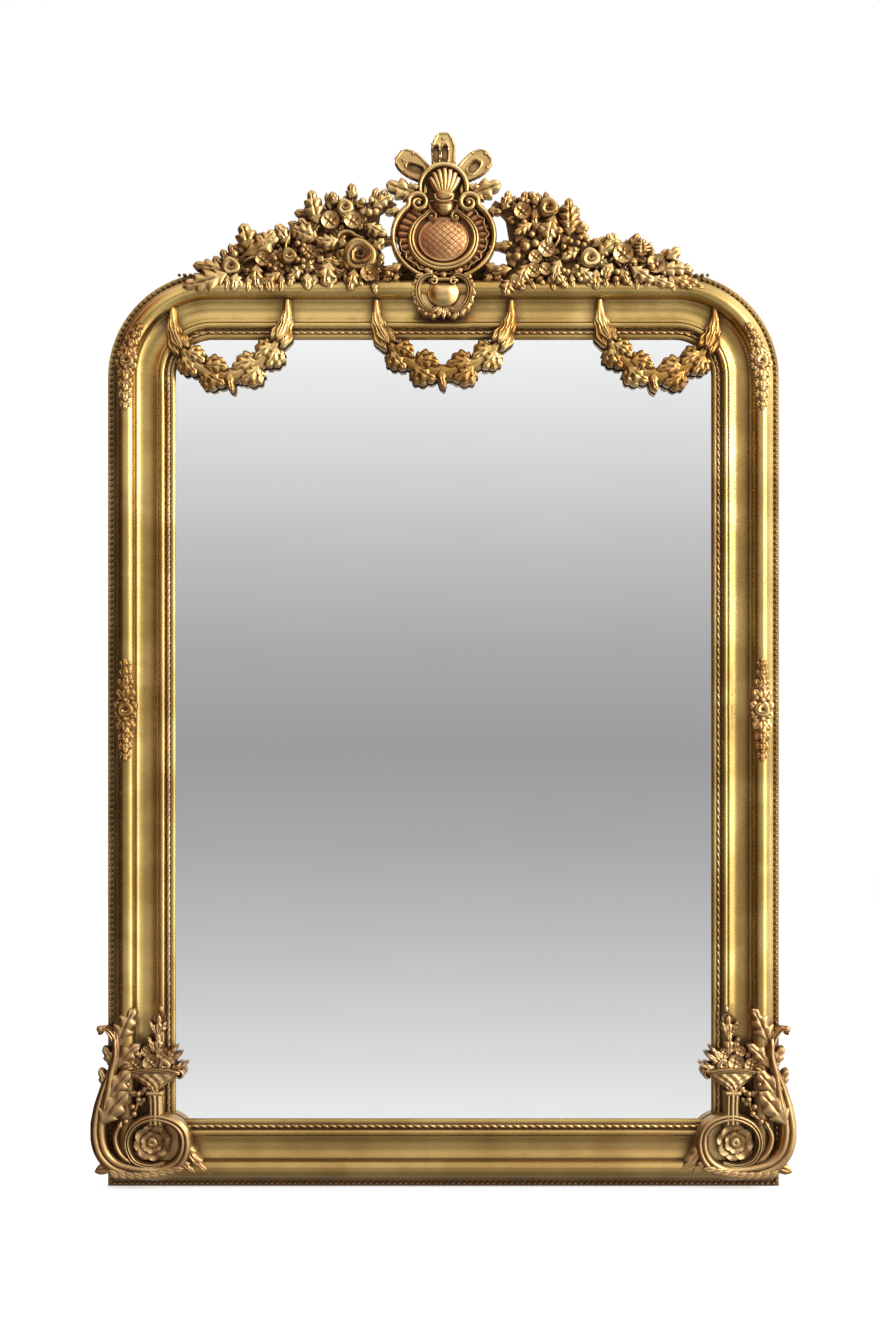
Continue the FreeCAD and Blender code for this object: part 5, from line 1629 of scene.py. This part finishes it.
# ---- lower corners ---------------------------------------
@dataclass
class CornerOrnament:
    """The scrolled ornament of a lower corner, drawn for the left one.

    The leaves of each part are rows: x, y, heading, length, width, height, bend, lobes, rise, curl and the
    depth of the cuts. The other numbers are sizes and places on the drawing.
    """

    rosette_centre: Point = (-494.0, 82.0)
    scroll_path: Sequence[Point] = (
        (-556, 271), (-555, 228), (-565, 194), (-575, 164), (-583, 131), (-586, 97), (-579, 66),
        (-562, 46), (-538, 36), (-503, 31), (-475, 32), (-451, 46), (-439, 70), (-441, 98),
        (-460, 117), (-494, 124), (-525, 110), (-537, 82), (-526, 53), (-500, 42), (-474, 47))
    scroll_widths: Sequence[float] = (10, 13, 17, 22, 25, 28, 28, 27, 26, 25, 24, 22, 19, 16, 14, 13,
                                      12, 10, 7)
    toe_leaves: Sequence[tuple[float, ...]] = (
        (-449, 100, 288, 92, 24, 54, 38, 4, 8, 3, 0.22), (-430, 70, 290, 42, 15, 56, 34, 3, 5, 3, 0.22),
        (-452, 62, 300, 44, 17, 58, 30, 3, 5, 2, 0.22), (-553, 46, 205, 44, 24, 46, -6, 2, 7, 3, 0.1))
    flank_leaves: Sequence[tuple[float, ...]] = (
        (-579, 112, 66, 74, 44, 63, -30, 3, 8, 4, 0.24), (-568, 152, 70, 66, 38, 62, -34, 3, 8, 4, 0.24),
        (-553, 240, 78, 76, 36, 54, -22, 4, 9, 4, 0.24), (-552, 208, 66, 56, 28, 58, -40, 3, 7, 2, 0.26),
        (-556, 206, 112, 44, 24, 54, 16, 3, 7, 3, 0.24), (-568, 168, 108, 42, 20, 56, 10, 3, 6, 2, 0.24))
    # Leaves of the bouquet: x, y, heading, length and width.
    bouquet: Sequence[tuple[float, ...]] = (
        (-484, 210, 24, 42, 18), (-476, 218, 44, 32, 14), (-486, 226, 84, 40, 18),
        (-492, 232, 104, 30, 14), (-512, 224, 134, 28, 14), (-486, 252, 82, 46, 17),
        (-484, 262, 60, 26, 12), (-488, 264, 112, 26, 12), (-466, 206, 6, 30, 13),
        (-530, 216, 160, 22, 12))
    # Flowers of the bouquet: x, y, radius and height.
    flowers: Sequence[tuple[float, ...]] = ((-523, 213, 13, 55), (-496, 218, 14, 58), (-505, 236, 9, 52),
                                            (-478, 232, 9, 52))
    sprig_berries: Sequence[Point] = ((-535, 181), (-517, 165), (-517, 155), (-524, 131), (-538, 118),
                                      (-548, 111), (-527, 143))
    sprig_leaves: Sequence[tuple[float, ...]] = ((-518, 160, 150), (-522, 144, 30), (-530, 126, 160),
                                                 (-500, 176, 214))

    def scroll(self) -> Carving:
        """The great scroll, with the ribbed leaf along its foot and the forked leaf at its toe."""
        piece = Carving(ground=32.0)
        piece.scroll(Spine(self.scroll_path), tapered(*self.scroll_widths), 58, 10, 2, 150, 16)
        inner = Spine([(-545, 118), (-556, 92), (-549, 66), (-530, 48)])
        piece.scroll(inner, tapered(6, 9, 9, 6), 61, 7, 1, 24, 8)
        ribs = 9
        for k in range(ribs):
            y = 40 - 7 * math.sin(math.pi * (k + 1) / ribs)
            piece.leaf(-566 + 13 * k, y, 306 + 4 * k, 24, 12, 66, 40, 1, 3.2, 0, 0.1)
        for leaf in self.toe_leaves:
            piece.leaf(*leaf)
        return piece

    def acanthus(self) -> Carving:
        """The great scroll's leafy head and flank."""
        piece = Carving(ground=33.0)
        for leaf in self.flank_leaves:
            piece.leaf(*leaf)
        head = Spine([(-553, 226), (-556, 244), (-562, 262), (-574, 274), (-583, 272), (-583, 264)])
        piece.scroll(head, tapered(8, 14, 14, 12, 8, 6), 56, 9, 2, 34, 10)
        piece.berry(-582, 274, 58, 7)
        midrib = Spine([(-556, 258), (-556, 228), (-563, 198), (-568, 166), (-576, 132)])
        piece.scroll(midrib, tapered(7, 10, 12, 12, 8), 64, 6.6, 1, 50, 8)
        return piece

    def rosette(self) -> Carving:
        """Eight-petalled rosette in a hollow round ground."""
        piece = Carving(ground=33.0)
        x, y = self.rosette_centre

        def dish(angle: float, share: float) -> float:
            """A fluted dish."""
            return 44 + 3.0 * share ** 3 + 1.0 * ridge(8 * angle / (2 * math.pi)) * share
        piece.disc((x, y), (48, 48), dish, 48, 8)
        for k in range(8):
            piece.petal(x, y, 11 + 45 * k, 32, 25, 52 + k % 2, 10)
        for k in range(6):
            piece.petal(x, y, 33 + 60 * k, 19, 17, 58, 6)
        piece.rose(x, y, 9, 61, 1.5, 0.55)
        return piece

    def basket(self) -> Carving:
        """Fluted torch stem under a woven basket of flowers, with a leafy spike and a berry sprig."""
        piece = Carving(ground=32.0)
        stem = Spine([(-489, 108), (-489, 140), (-490, 168)])
        piece.scroll(stem, tapered(27, 24, 25), 58, 9, 3, 24, 18)
        cap = Spine([(-505, 166), (-490, 165), (-475, 166)])
        piece.scroll(cap, tapered(9, 10, 9), 60, 7, 1, 14, 8)
        self.weave(piece)
        rim = Spine([(-534, 200), (-512, 204, 2), (-490, 205, 3), (-468, 204, 2), (-447, 199)])
        piece.scroll(rim, tapered(7, 8, 8, 8, 7), 61, 6, 2, 34, 8)
        left_handle = spiral((-531, 198), 10, 2, 60, 1.3, 14)
        right_handle = [(-980 - x, y) for x, y in spiral((-531, 196), 8, 2, 60, 1.3, 14)]
        piece.scroll(Spine(left_handle), tapered(7, 3), 57, 7, 1, 24, 8)
        piece.scroll(Spine(right_handle), tapered(6, 3), 55, 6, 1, 24, 8)
        for flower in self.flowers:
            piece.flower(*flower)
        piece.rose(-474, 213, 11, 56, 2.0)
        for leaf in self.bouquet:
            piece.leaf(*leaf, 52, 10, 3, 5, 3)
        piece.flower(-483, 291, 10, 48, 5)
        piece.berry(-481, 306, 46, 5, 1.4)
        for x, y in self.sprig_berries:
            piece.berry(x, y, 62, 5.2)
        sprig = Spine([(-514, 170), (-519, 148), (-526, 130), (-544, 114)])
        piece.scroll(sprig, tapered(5, 7, 7, 4), 54, 6, 1, 24, 6)
        for leaf in self.sprig_leaves:
            piece.leaf(*leaf, 22, 12, 55, 20, 2, 4, 2)
        return piece

    def weave(self, piece: Carving) -> None:
        """Weaves the basket's body, which narrows towards its foot.

        Args:
            piece: the carving that it joins.
        """
        centre, width, low, high = -490, 82.0, 166.0, 200.0
        strands, rows = 9, 5

        def shape(s: float, t: float) -> Vector:
            """The place of a point of the woven side."""
            share = (t + 1) / 2
            swell = 0.20 + 0.80 * smooth(0.0, 0.95, share)
            across = 2 * s - 1
            over = math.sin(math.pi * strands * s) * math.sin(math.pi * rows * share)
            return Vector((centre + (s - 0.5) * width * swell,
                           low + (high - low) * share - 3.0 * (1 - across ** 2) * (1 - share),
                           52 + (13 + 1.6 * over) * dome(across)))
        piece.relief(72, 28, shape, 33)

    def build(self) -> None:
        """Makes both corners."""
        for side, mirror in SIDES:
            for name, piece in (("scroll", self.scroll()), ("acanthus", self.acanthus()),
                                ("rosette", self.rosette()), ("basket", self.basket())):
                piece.finish(f"{side}_lower_corner_{name}", [PAINT(Finish.CORNERS)],
                             "gilded_corner_ornament", [f"{side}_corner_{name}"], mirror)


# ---- back and fittings -----------------------------------
@dataclass
class Back:
    """The solids that show as they are: the glass, what holds it, the boards and the hanging fittings."""

    finishes: dict[Finish, Sequence[str]] = field(default_factory=lambda: {
        Finish.GLASS: ("mirror_glass",),
        Finish.FELT: ("backing_felt",),
        Finish.RUBBER: ("glass_setting_blocks",),
        Finish.RAW_WOOD: ("glass_retaining_blocks",),
        Finish.PLYWOOD: ("back_panel",),
        Finish.BOARD: ("crest_board",),
        Finish.SPLINE: ("joint_splines",),
        Finish.STEEL: ("crest_fixing_plates", "left_hanger_strap", "right_hanger_strap",
                       "left_hanger_ring", "right_hanger_ring"),
        Finish.SCREW: ("back_panel_screws", "crest_plate_screws", "hanger_screws", "garland_brads"),
    })

    def build(self) -> None:
        """Gives each solid its finish."""
        for finish, names in self.finishes.items():
            for name in names:
                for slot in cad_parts[name].material_slots:
                    slot.link = "OBJECT"
                    slot.material = PAINT(finish)
                log.info("%s: %s", name, finish.value.name)


# ---- studio ----------------------------------------------
@dataclass(frozen=True)
class SoftLight:
    """A soft rectangular light: its place and size in metres, its watts and its colour."""

    name: str
    place: tuple[float, float, float]
    size: Point
    watts: float
    tint: str
    mirrored: bool = False

    def build(self, target: Vector) -> bpy.types.Object:
        """Hangs the light.

        Args:
            target: what it looks at.

        Returns:
            The light, which the camera doesn't see; the gold sees it if it is mirrored.
        """
        data = bpy.data.lights.new(self.name, "AREA")
        data.shape = "RECTANGLE"
        data.size, data.size_y = self.size
        data.energy = self.watts
        data.color = colour(self.tint)[:3]
        light = bpy.data.objects.new(self.name, data)
        light.location = self.place
        light.rotation_euler = (target - Vector(self.place)).to_track_quat("-Z", "Y").to_euler()
        light.visible_camera = False
        light.visible_glossy = self.mirrored
        bpy.context.scene.collection.objects.link(light)
        return light


@dataclass
class Studio:
    """White room with one large window, and the camera. Places and sizes are in metres.

    wall_stops: the height of a direction, as the sine of its angle, and how bright the wall is there.
    """

    camera_place: tuple[float, float, float] = (-0.006, -3.44, 0.75)
    lens: float = 54.4
    lift: float = 0.067
    middle: tuple[float, float, float] = (0.0, 0.0, 0.9)
    floor_size: float = 6.0
    floor_white: str = "#f4f4f3"
    floor_glow: float = 0.62
    room_light: float = 0.55
    dusk: str = "#d89a78"
    wall_stops: Sequence[Point] = ((0.0, 0.372), (0.05, 0.45), (0.10, 0.585), (0.15, 0.775),
                                   (0.20, 1.0))
    lights: Sequence[SoftLight] = (
        SoftLight("window_light", (2.7, -2.2, 2.5), (1.5, 1.9), 92, "#fffaf0", True),
        SoftLight("side_light", (1.8, -1.0, 1.0), (1.0, 2.4), 24, "#fffaf0", True),
        SoftLight("fill_light", (-2.8, -3.0, 1.4), (1.6, 2.0), 14, "#f6f4ff"),
        SoftLight("top_light", (0.3, -1.2, 3.6), (2.2, 0.8), 34, "#ffffff"))

    def camera(self) -> None:
        """Puts the camera straight in front, a little below the mirror's middle."""
        data = bpy.data.cameras.new("camera")
        data.lens = self.lens
        data.sensor_width = 36.0
        data.shift_y = self.lift
        camera = bpy.data.objects.new("camera", data)
        camera.location = self.camera_place
        camera.rotation_euler = (math.radians(90), 0, 0)
        bpy.context.scene.collection.objects.link(camera)
        bpy.context.scene.camera = camera

    def floor(self) -> bpy.types.Object:
        """Lays the floor.

        Returns:
            A pale floor that takes a faint shadow.
        """
        bm = bmesh.new()
        bmesh.ops.create_grid(bm, x_segments=1, y_segments=1, size=self.floor_size)
        data = bpy.data.meshes.new("floor")
        bm.to_mesh(data)
        bm.free()
        floor = bpy.data.objects.new("floor", data)
        floor.visible_glossy = False
        bpy.context.scene.collection.objects.link(floor)
        # Matt white paint that glows a little, so that the floor stays as white as the wall.
        material, tree, _ = new_tree("pale_floor")
        shader = add(tree, "ShaderNodeBsdfPrincipled", {
            "Base Color": colour(self.floor_white), "Roughness": 0.9, "Emission Color": WHITE,
            "Emission Strength": self.floor_glow})
        add(tree, "ShaderNodeOutputMaterial", {"Surface": shader})
        data.materials.append(material)
        return floor

    def room(self) -> None:
        """White to the camera; to gold and glass a room bright above and dusky at eye level."""
        world = bpy.data.worlds.new("studio")
        world.use_nodes = True
        bpy.context.scene.world = world
        tree = world.node_tree
        tree.nodes.clear()
        ray = add(tree, "ShaderNodeLightPath")
        way = add(tree, "ShaderNodeSeparateXYZ", {0: add(tree, "ShaderNodeTexCoord").outputs["Generated"]})
        height = add(tree, "ShaderNodeMath", {0: way.outputs["Z"]}, operation="ABSOLUTE")
        wall = add(tree, "ShaderNodeValToRGB", {0: height})
        for k, (place, level) in enumerate(self.wall_stops):
            ramp = wall.color_ramp.elements
            stop = ramp[k] if k < 2 else ramp.new(place)
            stop.position, stop.color = place, (level, level, level, 1)

        # What each area reads, the two values that it runs between, and its light at each of them: the
        # window to the right, the ceiling, the dim corner to the left, the dusk beyond it, the floor.
        window, ceiling, corner, dusk, under, warm = [
            add(tree, "ShaderNodeMapRange", {0: way.outputs[axis], 1: start, 2: stop, 3: low, 4: high},
                **SMOOTH) for axis, start, stop, low, high in (
                    ("X", 0.22, 0.75, 0.0, 0.90), ("Z", 0.21, 0.36, 0.0, 0.50),
                    ("X", -0.14, -0.34, 1.0, 0.85), ("X", -0.55, -0.88, 1.0, 0.06),
                    ("Z", -0.25, -0.7, 1.0, 0.40), ("X", -0.28, -0.70, 0.0, 1.0))]
        seen = wall
        for area, operation in ((window, "ADD"), (ceiling, "ADD"), (corner, "MULTIPLY"),
                                (dusk, "MULTIPLY"), (under, "MULTIPLY")):
            seen = add(tree, "ShaderNodeMath", {0: seen, 1: area}, operation=operation)
        glossy = add(tree, "ShaderNodeMath", {0: ray.outputs["Is Glossy Ray"],
                                              1: ray.outputs["Is Transmission Ray"]},
                     operation="MAXIMUM")
        soft = add(tree, "ShaderNodeMix", {0: glossy, LEVEL_A: self.room_light, LEVEL_B: seen},
                   data_type="FLOAT")
        power = add(tree, "ShaderNodeMix", {0: ray.outputs["Is Camera Ray"], LEVEL_A: soft, LEVEL_B: 1.0},
                    data_type="FLOAT")
        warm = add(tree, "ShaderNodeMath", {0: warm, 1: glossy}, operation="MULTIPLY")
        tint = add(tree, "ShaderNodeMix", {0: warm, MIX_A: WHITE, MIX_B: colour(self.dusk)},
                   data_type="RGBA")
        background = add(tree, "ShaderNodeBackground", {"Color": tint, "Strength": power})
        add(tree, "ShaderNodeOutputWorld", {"Surface": background})

    def build(self) -> None:
        """Sets up the room, its lights and the camera."""
        self.camera()
        self.room()
        self.floor()
        [light.build(Vector(self.middle)) for light in self.lights]
        bpy.context.scene.view_settings.view_transform = "Standard"


@dataclass
class TrumeauMirror:
    """The whole mirror."""

    frame: MouldedFrame = field(default_factory=MouldedFrame)
    cartouche: Cartouche = field(default_factory=Cartouche)
    sprays: Sequence[Spray] = (LEFT_SPRAY, RIGHT_SPRAY)
    garlands: Sequence[Garland] = (Garland("left", (-462, 1500), (-266, 1514)),
                                   Garland("centre", (-115, 1513), (115, 1513)),
                                   Garland("right", (266, 1514), (462, 1500)))
    drops: Sequence[FlowerDrop] = field(default_factory=lambda: (corner_drop(), stile_drop()))
    corner: CornerOrnament = field(default_factory=CornerOrnament)
    back: Back = field(default_factory=Back)

    def build(self) -> None:
        """Makes every sub-assembly in order."""
        for part in (self.frame, self.cartouche, *self.sprays, *self.garlands, *self.drops,
                     self.corner, self.back):
            part.build()


def main() -> None:
    """Builds the mirror and its room."""
    TrumeauMirror().build()
    Studio().build()


if __name__ == "__main__":
    main()
